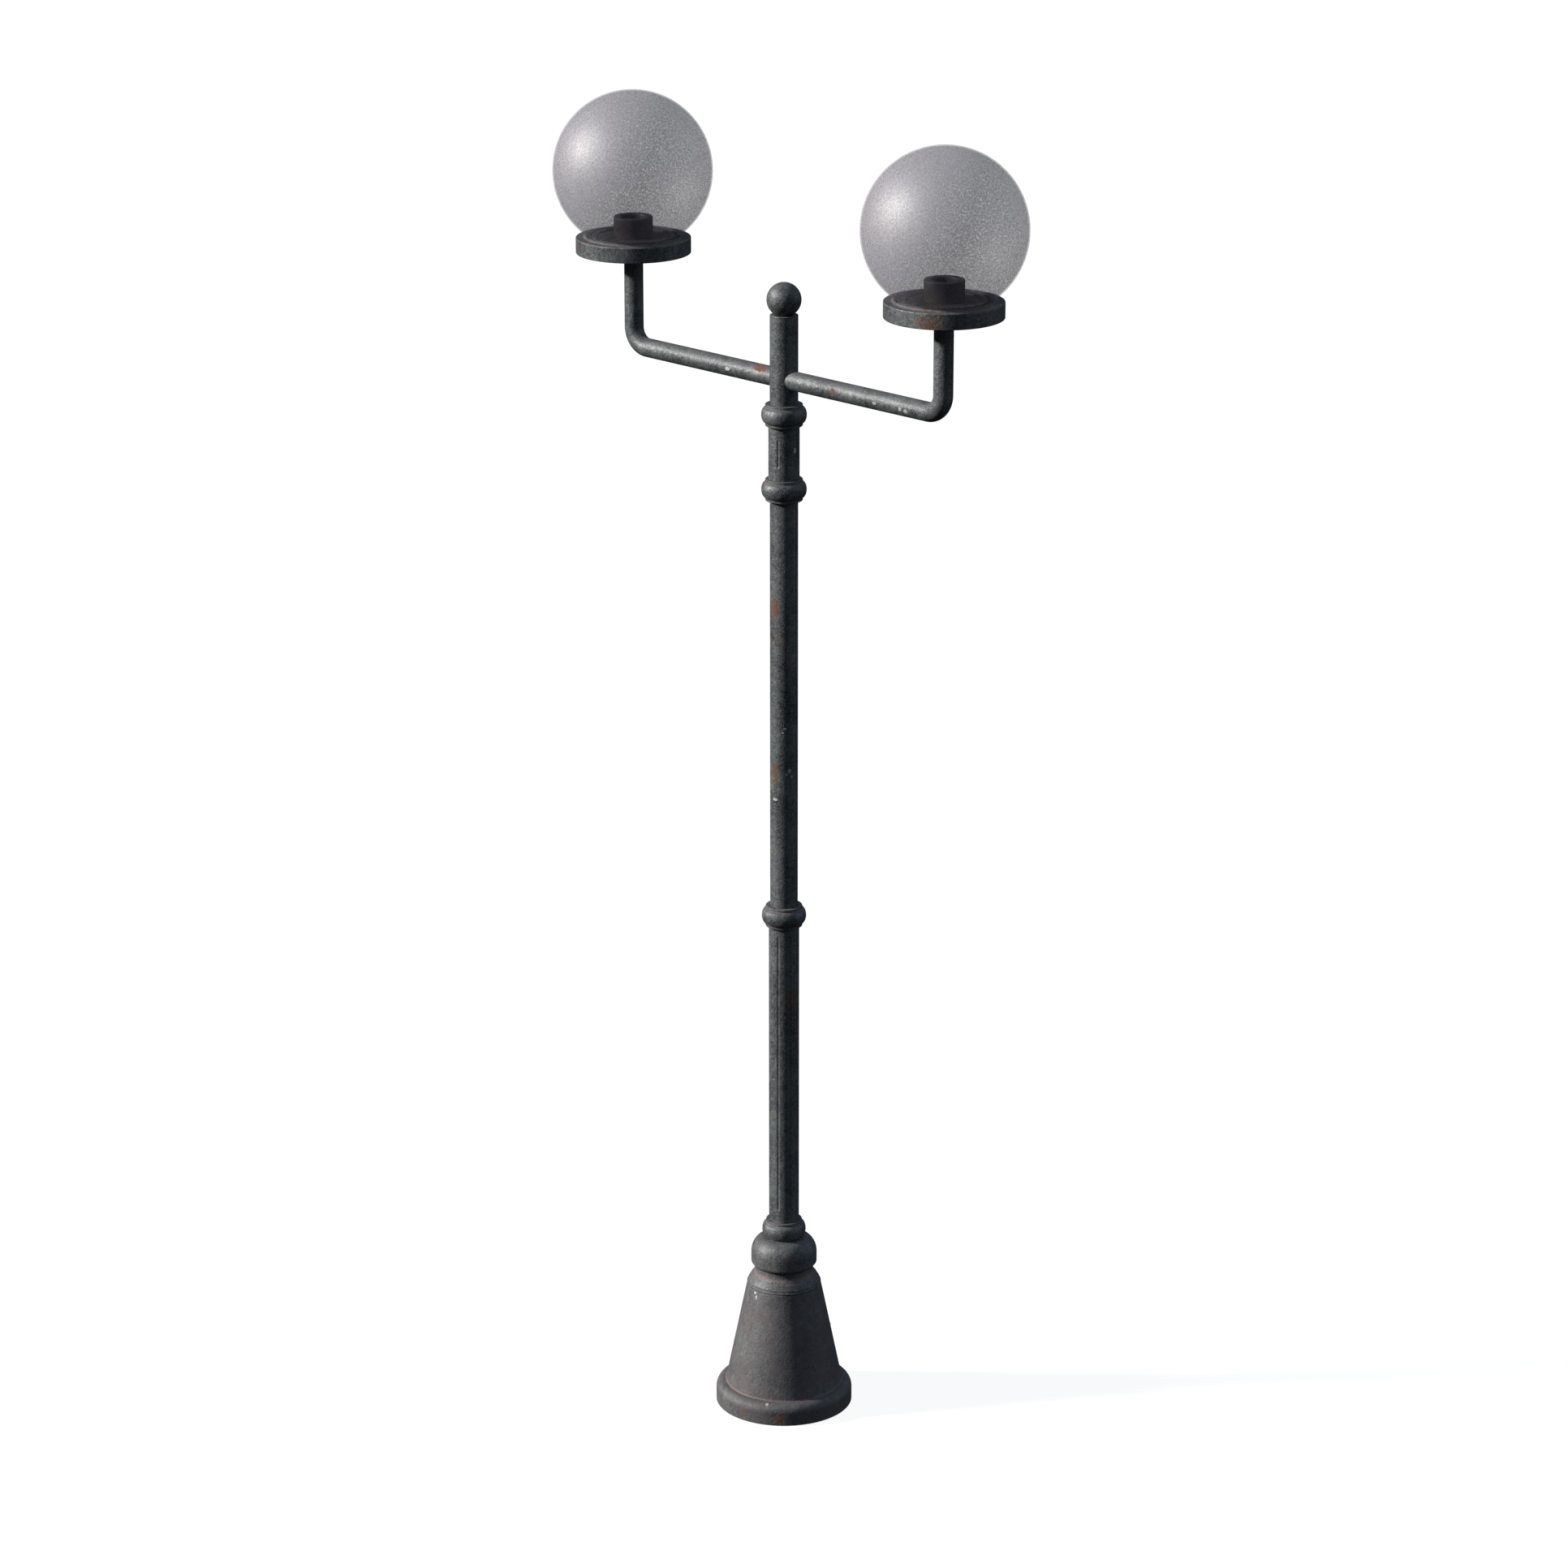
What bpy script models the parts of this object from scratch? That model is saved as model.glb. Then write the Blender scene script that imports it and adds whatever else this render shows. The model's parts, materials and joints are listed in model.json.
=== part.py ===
"""Twin-globe ornamental street lamp post, in metres, +Z up.

The origin is on the ground at the post's axis. The two arms lie along X, and the access
door in the pedestal faces +Y. The post is built as it comes apart on a bench: a cast
pedestal and urn over a steel shaft on a bolted base plate, slip-on collars, a head with
two welded arms, and a lamp with a lift-off globe on each arm.
"""

import math

import bmesh
import bpy
from mathutils import Matrix, Vector

# ---- Driving dimensions ----
GAP = 0.0005  # between nested or touching pieces
ROUND = 24  # sides of a large round piece
SMALL_ROUND = 12  # sides of a screw, pin or small bore

LOWER_RADIUS = 0.0483  # fluted lower shaft and neck sleeve
UPPER_RADIUS = 0.0438  # plain upper shaft and head tube
LOWER_BORE = UPPER_RADIUS + GAP
UPPER_BORE = 0.0402

PLATE_THICKNESS = 0.016
PLATE_RADIUS = 0.150
ANCHOR_CIRCLE = 0.115
ANCHOR_HOLE = 0.011
CABLE_HOLE = 0.034

CONE_BOTTOM = Vector((0.1886, 0.073))  # radius, height
CONE_TOP = Vector((0.1176, 0.4235))
PEDESTAL_WALL = 0.0085
SPIGOT_RADIUS = 0.0940  # neck of the pedestal, inside the urn
SPIGOT_TOP = 0.5140
URN_RADIUS = 0.1062
URN_RIM = 0.4810
URN_TOP = 0.6352

COLLAR_HALF = 0.0341
COLLAR_RING = 0.0582
COLLAR_BULGE = 0.0708
BULGE_HALF = 0.0248
LOWER_COLLAR_Z = 1.6782
MIDDLE_COLLAR_Z = 3.0696
UPPER_COLLAR_Z = 3.3055
URN_COLLAR_Z = URN_TOP - COLLAR_HALF

LOWER_SHAFT_TOP = LOWER_COLLAR_Z - 0.006
UPPER_SHAFT_FOOT = 1.450
SPLIT_Z = 3.180  # where the head tube stands on the upper shaft
POST_TOP = 3.617

FLUTES = 8
FLUTE_DEPTH = 0.0016
FLUTE_CUTTER = 0.0070
FLUTE_FIRST = math.radians(22.5)

BALL_RADIUS = 0.0538
BALL_Z = 3.663

ARM_RADIUS = 0.030
ARM_BORE = 0.0265
ARM_Z = 3.417
ARM_REACH = 0.664
BEND_RADIUS = 0.060
ARM_SIDES = 16

PAN_RADIUS = 0.1806
PAN_FOOT = 3.713
PAN_TOP = 3.762
PLATEAU = 3.767  # ring inside the globe's neck
RECESS = 3.763  # disc inside that ring, which carries the lampholder cup
SEAT = 3.755
HUB_RADIUS = 0.042
STUB_TOP = 3.7555

GLOBE_RADIUS = 0.250
GLOBE_Z = 3.9715
GLOBE_WALL = 0.004
NECK_RADIUS = 0.1405
GLOBE_FOOT = 3.758

CUP_RADIUS = 0.0612
CUP_TOP = 3.827
CUP_BORE = 0.038
CUP_FLOOR = 3.782

DOOR_HALF_WIDTH = 0.070
DOOR_FOOT = 0.1165
DOOR_HEAD = 0.3235
DOOR_CORNER = 0.018
DOOR_GAP = 0.0015
HINGE_X = -0.0795
HINGE_LIFT = 0.0075  # from the cone's face to the hinge line
HINGE_HEIGHTS = (0.165, 0.275)
KNUCKLE_RADIUS = 0.0055
KNUCKLE_LENGTH = 0.011
PIN_RADIUS = 0.0025
LOCK_X = 0.048
LOCK_Z = 0.225
LOCK_FACE = 0.156
LOCK_BACK = 0.1265
SPINDLE_RADIUS = 0.0055

BOX_WIDTH = 0.052
BOX_FRONT = 0.094
BOX_FOOT = 0.165
BOX_HEAD = 0.285

MATERIALS = {
    "cast_iron": ((0.085, 0.085, 0.090), 0.55, 0.6),
    "painted_steel": ((0.075, 0.080, 0.085), 0.50, 0.6),
    "zinc_steel": ((0.52, 0.53, 0.54), 0.40, 0.9),
    "stainless": ((0.60, 0.60, 0.59), 0.30, 1.0),
    "smoked_glass": ((0.55, 0.55, 0.58), 0.35, 0.0),
    "dark_plastic": ((0.055, 0.055, 0.060), 0.55, 0.0),
    "grey_plastic": ((0.45, 0.46, 0.47), 0.50, 0.0),
    "rubber": ((0.030, 0.030, 0.030), 0.85, 0.0),
    "porcelain": ((0.80, 0.79, 0.75), 0.25, 0.0),
    "brass": ((0.70, 0.53, 0.25), 0.35, 1.0),
}


# ---- Tools ----
def clear_scene():
    for obj in list(bpy.data.objects):
        bpy.data.objects.remove(obj)


def material(name):
    found = bpy.data.materials.get(name)
    if found:
        return found
    colour, roughness, metallic = MATERIALS[name]
    made = bpy.data.materials.new(name)
    made.use_nodes = True
    shader = made.node_tree.nodes["Principled BSDF"]
    shader.inputs["Base Color"].default_value = (*colour, 1.0)
    shader.inputs["Roughness"].default_value = roughness
    shader.inputs["Metallic"].default_value = metallic
    return made


def finish_object(bm, name, finish):
    """Turns a bmesh into a linked object with outward normals and smooth round faces."""
    bmesh.ops.remove_doubles(bm, verts=bm.verts, dist=1e-6)
    bmesh.ops.recalc_face_normals(bm, faces=bm.faces)
    mesh = bpy.data.meshes.new(name)
    bm.to_mesh(mesh)
    bm.free()
    mesh.shade_smooth()
    mesh.set_sharp_from_angle(angle=math.radians(35))
    mesh.materials.append(material(finish))
    obj = bpy.data.objects.new(name, mesh)
    bpy.context.scene.collection.objects.link(obj)
    return obj


def lathe(name, profile, finish, sides=ROUND, ring=True):
    """A solid of revolution. A ring's outline closes on itself; another's ends lie on the axis."""
    bm = bmesh.new()
    points = [bm.verts.new((r, 0.0, z)) for r, z in profile]
    last = points[1:] + points[:1] if ring else points[1:]
    edges = [bm.edges.new(pair) for pair in zip(points, last)]
    bmesh.ops.spin(
        bm,
        geom=points + edges,
        cent=(0, 0, 0),
        axis=(0, 0, 1),
        angle=math.tau,
        steps=sides,
        use_merge=True,
    )
    return finish_object(bm, name, finish)


def tube(name, outer, inner, low, high, finish, sides=ROUND):
    outline = [(outer, low), (outer, high), (inner, high), (inner, low)]
    return lathe(name, outline, finish, sides)


def rod(name, radius, low, high, finish, sides=SMALL_ROUND):
    outline = [(0, low), (radius, low), (radius, high), (0, high)]
    return lathe(name, outline, finish, sides, ring=False)


def prism(name, outline, depth, finish):
    """An outline in X and Z, extruded along +Y by depth."""
    bm = bmesh.new()
    face = bm.faces.new([bm.verts.new((x, 0.0, z)) for x, z in outline])
    moved = bmesh.ops.extrude_face_region(bm, geom=[face])["geom"]
    corners = [item for item in moved if isinstance(item, bmesh.types.BMVert)]
    bmesh.ops.translate(bm, verts=corners, vec=(0, depth, 0))
    return finish_object(bm, name, finish)


def block(name, low, high, finish):
    bm = bmesh.new()
    bmesh.ops.create_cube(bm, size=1.0)
    size = Vector(high) - Vector(low)
    middle = (Vector(high) + Vector(low)) / 2
    bmesh.ops.transform(
        bm, verts=bm.verts, matrix=Matrix.Translation(middle) @ Matrix.Diagonal((*size, 1))
    )
    return finish_object(bm, name, finish)


def place(obj, matrix):
    """Moves an object's mesh, leaving its origin alone."""
    obj.data.transform(matrix)
    return obj


def along_y(obj, x, y, z):
    """Lays a piece made along +Z down along +Y, its foot at the point given."""
    return place(obj, Matrix.Translation((x, y, z)) @ Matrix.Rotation(-math.pi / 2, 4, "X"))


def clean_mesh(mesh):
    """Welds and triangulates a Boolean's result, so that the next one meets flat faces."""
    bm = bmesh.new()
    bm.from_mesh(mesh)
    bmesh.ops.remove_doubles(bm, verts=bm.verts, dist=2e-6)
    bmesh.ops.dissolve_degenerate(bm, edges=bm.edges, dist=2e-6)
    bmesh.ops.triangulate(bm, faces=[face for face in bm.faces if len(face.verts) > 4])
    bm.to_mesh(mesh)
    bm.free()


def combine(target, operation, others):
    """A Boolean of the target with each other object, which is then removed."""
    for other in others:
        modifier = target.modifiers.new("boolean", "BOOLEAN")
        modifier.operation = operation
        modifier.object = other
        modifier.solver = "EXACT"
        bpy.context.view_layer.update()
        graph = bpy.context.evaluated_depsgraph_get()
        result = bpy.data.meshes.new_from_object(target.evaluated_get(graph))
        target.modifiers.clear()
        clean_mesh(result)
        target.data = result
        bpy.data.objects.remove(other)
    return target


def cut(target, *cutters):
    return combine(target, "DIFFERENCE", cutters)


def join(target, *others):
    return combine(target, "UNION", others)


def set_origin(obj, matrix):
    """Puts the object's origin and axes at matrix, with its shape left where it is."""
    obj.data.transform(matrix.inverted())
    obj.matrix_world = matrix
    return obj


def empty_at(name, matrix):
    empty = bpy.data.objects.new(name, None)
    bpy.context.scene.collection.objects.link(empty)
    empty.matrix_world = matrix
    bpy.context.view_layer.update()
    return empty


def attach(obj, parent):
    """Parents an object to an empty, with its shape left where it is."""
    set_origin(obj, parent.matrix_world.copy())
    obj.parent = parent
    obj.matrix_parent_inverse = parent.matrix_world.inverted()
    return obj


def arc(centre, radius, start, end, steps):
    """Points on a circular or elliptical arc, angles in degrees, ends included."""
    rx, ry = radius if isinstance(radius, tuple) else (radius, radius)
    angles = [math.radians(start + (end - start) * i / steps) for i in range(steps + 1)]
    return [(centre[0] + rx * math.cos(a), centre[1] + ry * math.sin(a)) for a in angles]


def rounded_rectangle(half_width, low, high, corner):
    steps = 4
    outline = []
    for x, z, start in (
        (half_width - corner, high - corner, 0),
        (corner - half_width, high - corner, 90),
        (corner - half_width, low + corner, 180),
        (half_width - corner, low + corner, 270),
    ):
        outline += arc((x, z), corner, start, start + 90, steps)
    return outline


def cone_radius(z):
    share = (z - CONE_BOTTOM.y) / (CONE_TOP.y - CONE_BOTTOM.y)
    return CONE_BOTTOM.x + share * (CONE_TOP.x - CONE_BOTTOM.x)


def cone_face(x, z):
    """How far out in Y the cone's outer face lies at x and z."""
    return math.sqrt(cone_radius(z) ** 2 - x**2)


# ---- Ornament ----
def collar_outline(middle):
    """Outer outline of a collar from its foot to its head: ring, bulge, ring."""
    bulge = arc(
        (COLLAR_RING - 0.001, middle), (COLLAR_BULGE - COLLAR_RING + 0.001, BULGE_HALF), -75, 75, 5
    )
    return (
        [(COLLAR_RING, middle - COLLAR_HALF), (COLLAR_RING, middle - BULGE_HALF - 0.001)]
        + bulge
        + [(COLLAR_RING, middle + BULGE_HALF + 0.001), (COLLAR_RING, middle + COLLAR_HALF)]
    )


def collar(name, middle, step_z, lower_bore, upper_bore, screw_z):
    """A slip-on collar with a stepped bore, its grub screw, and the hole for that."""
    outline = collar_outline(middle) + [
        (upper_bore, middle + COLLAR_HALF),
        (upper_bore, step_z),
        (lower_bore, step_z),
        (lower_bore, middle - COLLAR_HALF),
    ]
    body = lathe(name, outline, "cast_iron")
    grub_screw(body, name + "_screw", screw_z, max(lower_bore, upper_bore))
    return body


def grub_screw(body, name, z, bore):
    """A grub screw along Y in the rear of a ring-shaped casting."""
    screw_radius = 0.003
    foot = bore + 0.0004
    hole = rod("hole", screw_radius + GAP, 0.0, 0.06, "zinc_steel", 12)
    cut(body, along_y(hole, 0.0, bore - 0.012, z))
    screw = rod(name, screw_radius, 0.0, COLLAR_RING + 0.007 - foot, "zinc_steel", 12)
    along_y(screw, 0.0, foot, z)
    drive = rod("drive", 0.0016, 0.0, 0.01, "zinc_steel", 6)
    cut(screw, along_y(drive, 0.0, COLLAR_RING + 0.004, z))


def flute_cutters(low, high):
    """Capsules that cut the shallow round-ended flutes into a shaft of LOWER_RADIUS."""
    distance = LOWER_RADIUS - FLUTE_DEPTH + FLUTE_CUTTER
    side = 12
    cutters = []
    for i in range(FLUTES):
        angle = FLUTE_FIRST + i * math.tau / FLUTES
        outline = (
            arc((0.0, low + FLUTE_CUTTER), FLUTE_CUTTER, -90, 0, 3)
            + arc((0.0, high - FLUTE_CUTTER), FLUTE_CUTTER, 0, 90, 3)
        )
        outline[0] = (0.0, low)
        outline[-1] = (0.0, high)
        cutter = lathe("flute", outline, "cast_iron", side, ring=False)
        place(cutter, Matrix.Rotation(angle, 4, "Z") @ Matrix.Translation((distance, 0, 0)))
        cutters.append(cutter)
    return cutters


# ---- Base ----
def pedestal_outline():
    """Outer outline of the pedestal from the ground up to the spigot inside the urn."""
    flange = [(0.2213, 0.0)] + arc((0.1935, 0.0420), (0.0278, 0.0285), 0, 90, 4)
    cone = [tuple(CONE_BOTTOM), tuple(CONE_TOP)]
    shoulder = [(0.1160, 0.4275), (0.1095, 0.4350), (0.1065, 0.4400)]
    bead = arc((0.0965, 0.4450), (0.0100, 0.0170), 0, 60, 3)
    spigot = [(SPIGOT_RADIUS, 0.4635), (SPIGOT_RADIUS, SPIGOT_TOP)]
    return flange + cone + shoulder + bead + spigot


def make_pedestal():
    wall = PEDESTAL_WALL
    inside = [
        (SPIGOT_RADIUS - wall, SPIGOT_TOP),
        (SPIGOT_RADIUS - wall, 0.4560),
        (CONE_TOP.x - wall, 0.4200),
        (CONE_BOTTOM.x - wall, 0.0730),
        (0.1920 - wall, 0.0620),
        (0.2213 - 0.010, 0.0400),
        (0.2213 - 0.010, 0.0),
    ]
    pedestal = lathe("base_pedestal", pedestal_outline() + inside, "cast_iron")
    cut(pedestal, door_block(DOOR_GAP))
    for height in HINGE_HEIGHTS:
        join(pedestal, pedestal_lug(height))
        cut(pedestal, on_hinge(rod("bore", PIN_RADIUS + GAP / 2, -0.03, 0.03, "cast_iron", 12), height))
    return pedestal


def hinge_direction():
    """Unit vector up along the hinge line, which leans with the cone."""
    low, high = (
        Vector((HINGE_X, cone_face(HINGE_X, z) + HINGE_LIFT, z)) for z in HINGE_HEIGHTS
    )
    return (high - low).normalized()


def hinge_matrix(height=HINGE_HEIGHTS[0]):
    """Frame on the hinge line at this height, its Z along the line."""
    lean = hinge_direction()
    tilt = Vector((0, 0, 1)).rotation_difference(lean).to_matrix().to_4x4()
    foot = HINGE_HEIGHTS[0]
    start = Vector((HINGE_X, cone_face(HINGE_X, foot) + HINGE_LIFT, foot))
    return Matrix.Translation(start + lean * (height - foot) / lean.z) @ tilt


def on_hinge(obj, height):
    return place(obj, hinge_matrix(height))


def door_block(slack):
    """The door's outline, grown by slack, carried through the wall square to the hinge line.

    The line leans, so a swinging door climbs as it comes out of the wall. Edges cut this way
    climb with it and never reach the opening's head.
    """
    foot, head = (Vector((0, cone_radius(z), z)) for z in (DOOR_FOOT, DOOR_HEAD))
    lean = hinge_direction()
    tall = (head - foot).dot(lean)
    outline = rounded_rectangle(DOOR_HALF_WIDTH + slack, -slack, tall + slack, DOOR_CORNER + slack)
    tilt = Vector((0, 0, 1)).rotation_difference(lean).to_matrix().to_4x4()
    inward = Matrix.Translation((0, -0.08, 0))
    return place(prism("door_block", outline, 0.15, "cast_iron"), Matrix.Translation(foot) @ tilt @ inward)


def pedestal_lug(height):
    """The lower half of a hinge: a knuckle on a block cast into the pedestal's wall."""
    low, high = -KNUCKLE_LENGTH, -GAP / 2
    knuckle = rod("knuckle", KNUCKLE_RADIUS, low, high, "cast_iron")
    web = block("web", (-0.0085, -0.0185, low + 0.0008), (-0.0002, 0.0005, high - 0.0008), "cast_iron")
    return on_hinge(join(knuckle, web), height)


def door_lug(height):
    """The upper half of a hinge: a knuckle on a strap cast onto the door."""
    low, high = GAP / 2, KNUCKLE_LENGTH
    knuckle = rod("knuckle", KNUCKLE_RADIUS, low, high, "cast_iron")
    strap = block("strap", (0.0002, -0.0022, low + 0.0008), (0.0190, 0.0028, high - 0.0008), "cast_iron")
    return on_hinge(join(knuckle, strap), height)


def make_door():
    """The door is the piece of the cone's wall inside its opening, with lugs and a lock boss."""
    wall = PEDESTAL_WALL
    shell = [
        (cone_radius(0.100), 0.100),
        (cone_radius(0.340), 0.340),
        (cone_radius(0.340) - wall, 0.340),
        (cone_radius(0.100) - wall, 0.100),
    ]
    door = lathe("base_door", shell, "cast_iron")
    combine(door, "INTERSECT", [door_block(0.0)])
    boss = rod("boss", 0.0120, 0.0, LOCK_FACE - LOCK_BACK, "cast_iron", 20)
    join(door, along_y(boss, LOCK_X, LOCK_BACK, LOCK_Z))
    for height in HINGE_HEIGHTS:
        join(door, door_lug(height))
        cut(door, on_hinge(rod("bore", PIN_RADIUS + GAP / 2, -0.03, 0.03, "cast_iron", 12), height))
    bore = rod("bore", SPINDLE_RADIUS + GAP, -0.01, 0.05, "cast_iron")
    return cut(door, along_y(bore, LOCK_X, LOCK_BACK, LOCK_Z))


def make_lock():
    """Spindle with a three-sided key head, a cam behind the door, and the cam's nut."""
    cam_back = LOCK_BACK - 0.0055
    head = LOCK_FACE + GAP
    spindle = rod("lock_spindle", SPINDLE_RADIUS, cam_back - 0.0075, head, "stainless")
    disc = rod("disc", 0.0095, head, head + 0.003, "stainless", 16)
    key = rod("key", 0.0048, head + 0.002, head + 0.0085, "stainless", 3)
    join(spindle, disc, key)
    shank_flat = block("flat", (-0.02, 0.0042, cam_back - 0.01), (0.02, 0.02, LOCK_BACK), "stainless")
    cut(spindle, shank_flat)
    along_y(spindle, LOCK_X, 0.0, LOCK_Z)

    outline = arc((0.0, 0.0), 0.0105, 0, 180, 8) + arc((0.0, -0.0235), 0.0070, 180, 360, 6)
    cam = prism("lock_cam", outline, 0.0035, "zinc_steel")
    place(cam, Matrix.Translation((LOCK_X, cam_back, LOCK_Z)))
    cam_hole = rod("hole", SPINDLE_RADIUS + GAP, -0.01, 0.02, "zinc_steel")
    cut(cam, along_y(cam_hole, LOCK_X, cam_back, LOCK_Z))

    nut = tube("lock_nut", 0.0095, SPINDLE_RADIUS + GAP, 0.0, 0.0050, "zinc_steel", 6)
    # Six sides outside and a round bore cannot share one lathe, so the bore is cut again round.
    round_bore = rod("hole", SPINDLE_RADIUS + GAP, -0.01, 0.02, "zinc_steel")
    cut(nut, round_bore)
    along_y(nut, LOCK_X, cam_back - 0.0055, LOCK_Z)
    return spindle, cam, nut


def make_urn():
    neck = 0.0600
    outline = (
        [(URN_RADIUS, URN_RIM), (URN_RADIUS, 0.5210)]
        + arc((neck, 0.5210), (URN_RADIUS - neck, 0.0545), 15, 90, 5)
        + [(neck - 0.0015, 0.5765)]
        + collar_outline(URN_COLLAR_Z)[3:]
    )
    bore = LOWER_RADIUS + GAP
    inside = [
        (bore, URN_TOP),
        (bore, 0.5720),
        (0.0580, 0.5640),
        (0.0840, 0.5480),
        (0.0860, SPIGOT_TOP + GAP),
        (SPIGOT_RADIUS + GAP, SPIGOT_TOP + GAP),
        (SPIGOT_RADIUS + GAP, URN_RIM),
    ]
    urn = lathe("base_urn", outline + inside, "cast_iron")
    grub_screw(urn, "base_urn_screw", URN_COLLAR_Z, bore)
    return urn


def make_base_plate():
    plate = tube("base_plate", PLATE_RADIUS, CABLE_HOLE, 0.0, PLATE_THICKNESS, "zinc_steel")
    for i in range(4):
        angle = math.radians(45 + 90 * i)
        hole = rod("hole", ANCHOR_HOLE, -0.01, 0.03, "zinc_steel")
        shift = (ANCHOR_CIRCLE * math.cos(angle), ANCHOR_CIRCLE * math.sin(angle), 0)
        cut(plate, place(hole, Matrix.Translation(shift)))
    earth_hole = rod("hole", 0.0042, -0.01, 0.03, "zinc_steel", 12)
    cut(plate, place(earth_hole, Matrix.Translation((0, 0.112, 0))))
    stud = rod("earth_stud", 0.0038, 0.001, 0.044, "brass", 12)
    place(stud, Matrix.Translation((0, 0.112, 0)))
    nut = rod("nut", 0.0080, 0.0, 0.0065, "brass", 6)
    cut(nut, rod("hole", 0.0043, -0.01, 0.02, "brass", 12))
    nut.name = "earth_nut"
    place(nut, Matrix.Translation((0, 0.112, PLATE_THICKNESS + GAP)))
    return plate


def make_cutout():
    """The fused cut-out on its bracket, on the shaft's rear, behind the door."""
    half = BOX_WIDTH / 2
    back = LOWER_RADIUS + 0.0070
    bracket = block(
        "cutout_bracket",
        (-half, back - 0.003, BOX_FOOT - 0.018),
        (half, back, BOX_HEAD + 0.018),
        "zinc_steel",
    )
    pad = block("pad", (-0.010, LOWER_RADIUS - 0.002, BOX_FOOT), (0.010, back - 0.001, BOX_HEAD), "zinc_steel")
    join(bracket, pad)
    cut(bracket, rod("shaft", LOWER_RADIUS + GAP, 0.1, 0.35, "zinc_steel", ROUND))

    body_back = back + GAP
    body = block("cutout_body", (-half, body_back, BOX_FOOT), (half, BOX_FRONT, BOX_HEAD), "grey_plastic")
    pocket = (0.018, 0.200, 0.262)  # half width, foot, head
    cut(
        body,
        block(
            "pocket",
            (-pocket[0], body_back + 0.010, pocket[1]),
            (pocket[0], BOX_FRONT + 0.01, pocket[2]),
            "grey_plastic",
        ),
    )
    carrier = block(
        "fuse_carrier",
        (-pocket[0] + 0.001, body_back + 0.0110, pocket[1] + 0.001),
        (pocket[0] - 0.001, BOX_FRONT + 0.003, pocket[2] - 0.001),
        "dark_plastic",
    )
    grip = block("grip", (-0.0045, BOX_FRONT, 0.210), (0.0045, BOX_FRONT + 0.010, 0.252), "dark_plastic")
    join(carrier, grip)
    for side, x in (("left", -0.014), ("right", 0.014)):
        gland = tube(f"cable_gland_{side}", 0.0095, 0.0055, 0.0, 0.020, "dark_plastic", 12)
        place(gland, Matrix.Translation((x, 0.076, BOX_FOOT - 0.020 - GAP)))
    for end, z in (("lower", BOX_FOOT - 0.010), ("upper", BOX_HEAD + 0.010)):
        screw = rod(f"bracket_screw_{end}", 0.0045, 0.0, 0.0035, "zinc_steel", 6)
        along_y(screw, 0.0, back + GAP, z)
    return carrier


# ---- Column ----
def make_shafts():
    lower = tube(
        "lower_shaft", LOWER_RADIUS, LOWER_BORE, PLATE_THICKNESS + GAP, LOWER_SHAFT_TOP, "painted_steel"
    )
    cut(lower, *flute_cutters(URN_TOP + 0.022, LOWER_COLLAR_Z - COLLAR_HALF - 0.022))
    wire_way = rod("wire_way", 0.012, 0.0, 0.06, "painted_steel")
    cut(lower, along_y(wire_way, 0.0, 0.0, 0.330))
    grommet = tube("wire_grommet", 0.0115, 0.0070, 0.0, 0.0070, "rubber", SMALL_ROUND)
    along_y(grommet, 0.0, LOWER_BORE - 0.0005, 0.330)
    tube("upper_shaft", UPPER_RADIUS, UPPER_BORE, UPPER_SHAFT_FOOT, SPLIT_Z, "painted_steel")
    tube(
        "joint_spigot", UPPER_BORE - 0.001, 0.0360, SPLIT_Z - 0.110, SPLIT_Z + 0.110, "zinc_steel", 16
    )


def make_neck():
    sleeve = tube(
        "neck_sleeve", LOWER_RADIUS, LOWER_BORE, MIDDLE_COLLAR_Z, UPPER_COLLAR_Z, "painted_steel"
    )
    low = MIDDLE_COLLAR_Z + COLLAR_HALF
    high = UPPER_COLLAR_Z - COLLAR_HALF
    cut(sleeve, *flute_cutters(low + 0.020, high - 0.020))


def make_collars():
    wide = LOWER_RADIUS + GAP
    narrow = UPPER_RADIUS + GAP
    collar("lower_collar", LOWER_COLLAR_Z, LOWER_SHAFT_TOP + GAP, wide, narrow, LOWER_COLLAR_Z + 0.010)
    collar("middle_collar", MIDDLE_COLLAR_Z, MIDDLE_COLLAR_Z - GAP, narrow, wide, MIDDLE_COLLAR_Z - 0.010)
    collar("upper_collar", UPPER_COLLAR_Z, UPPER_COLLAR_Z + GAP, wide, narrow, UPPER_COLLAR_Z + 0.010)


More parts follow.
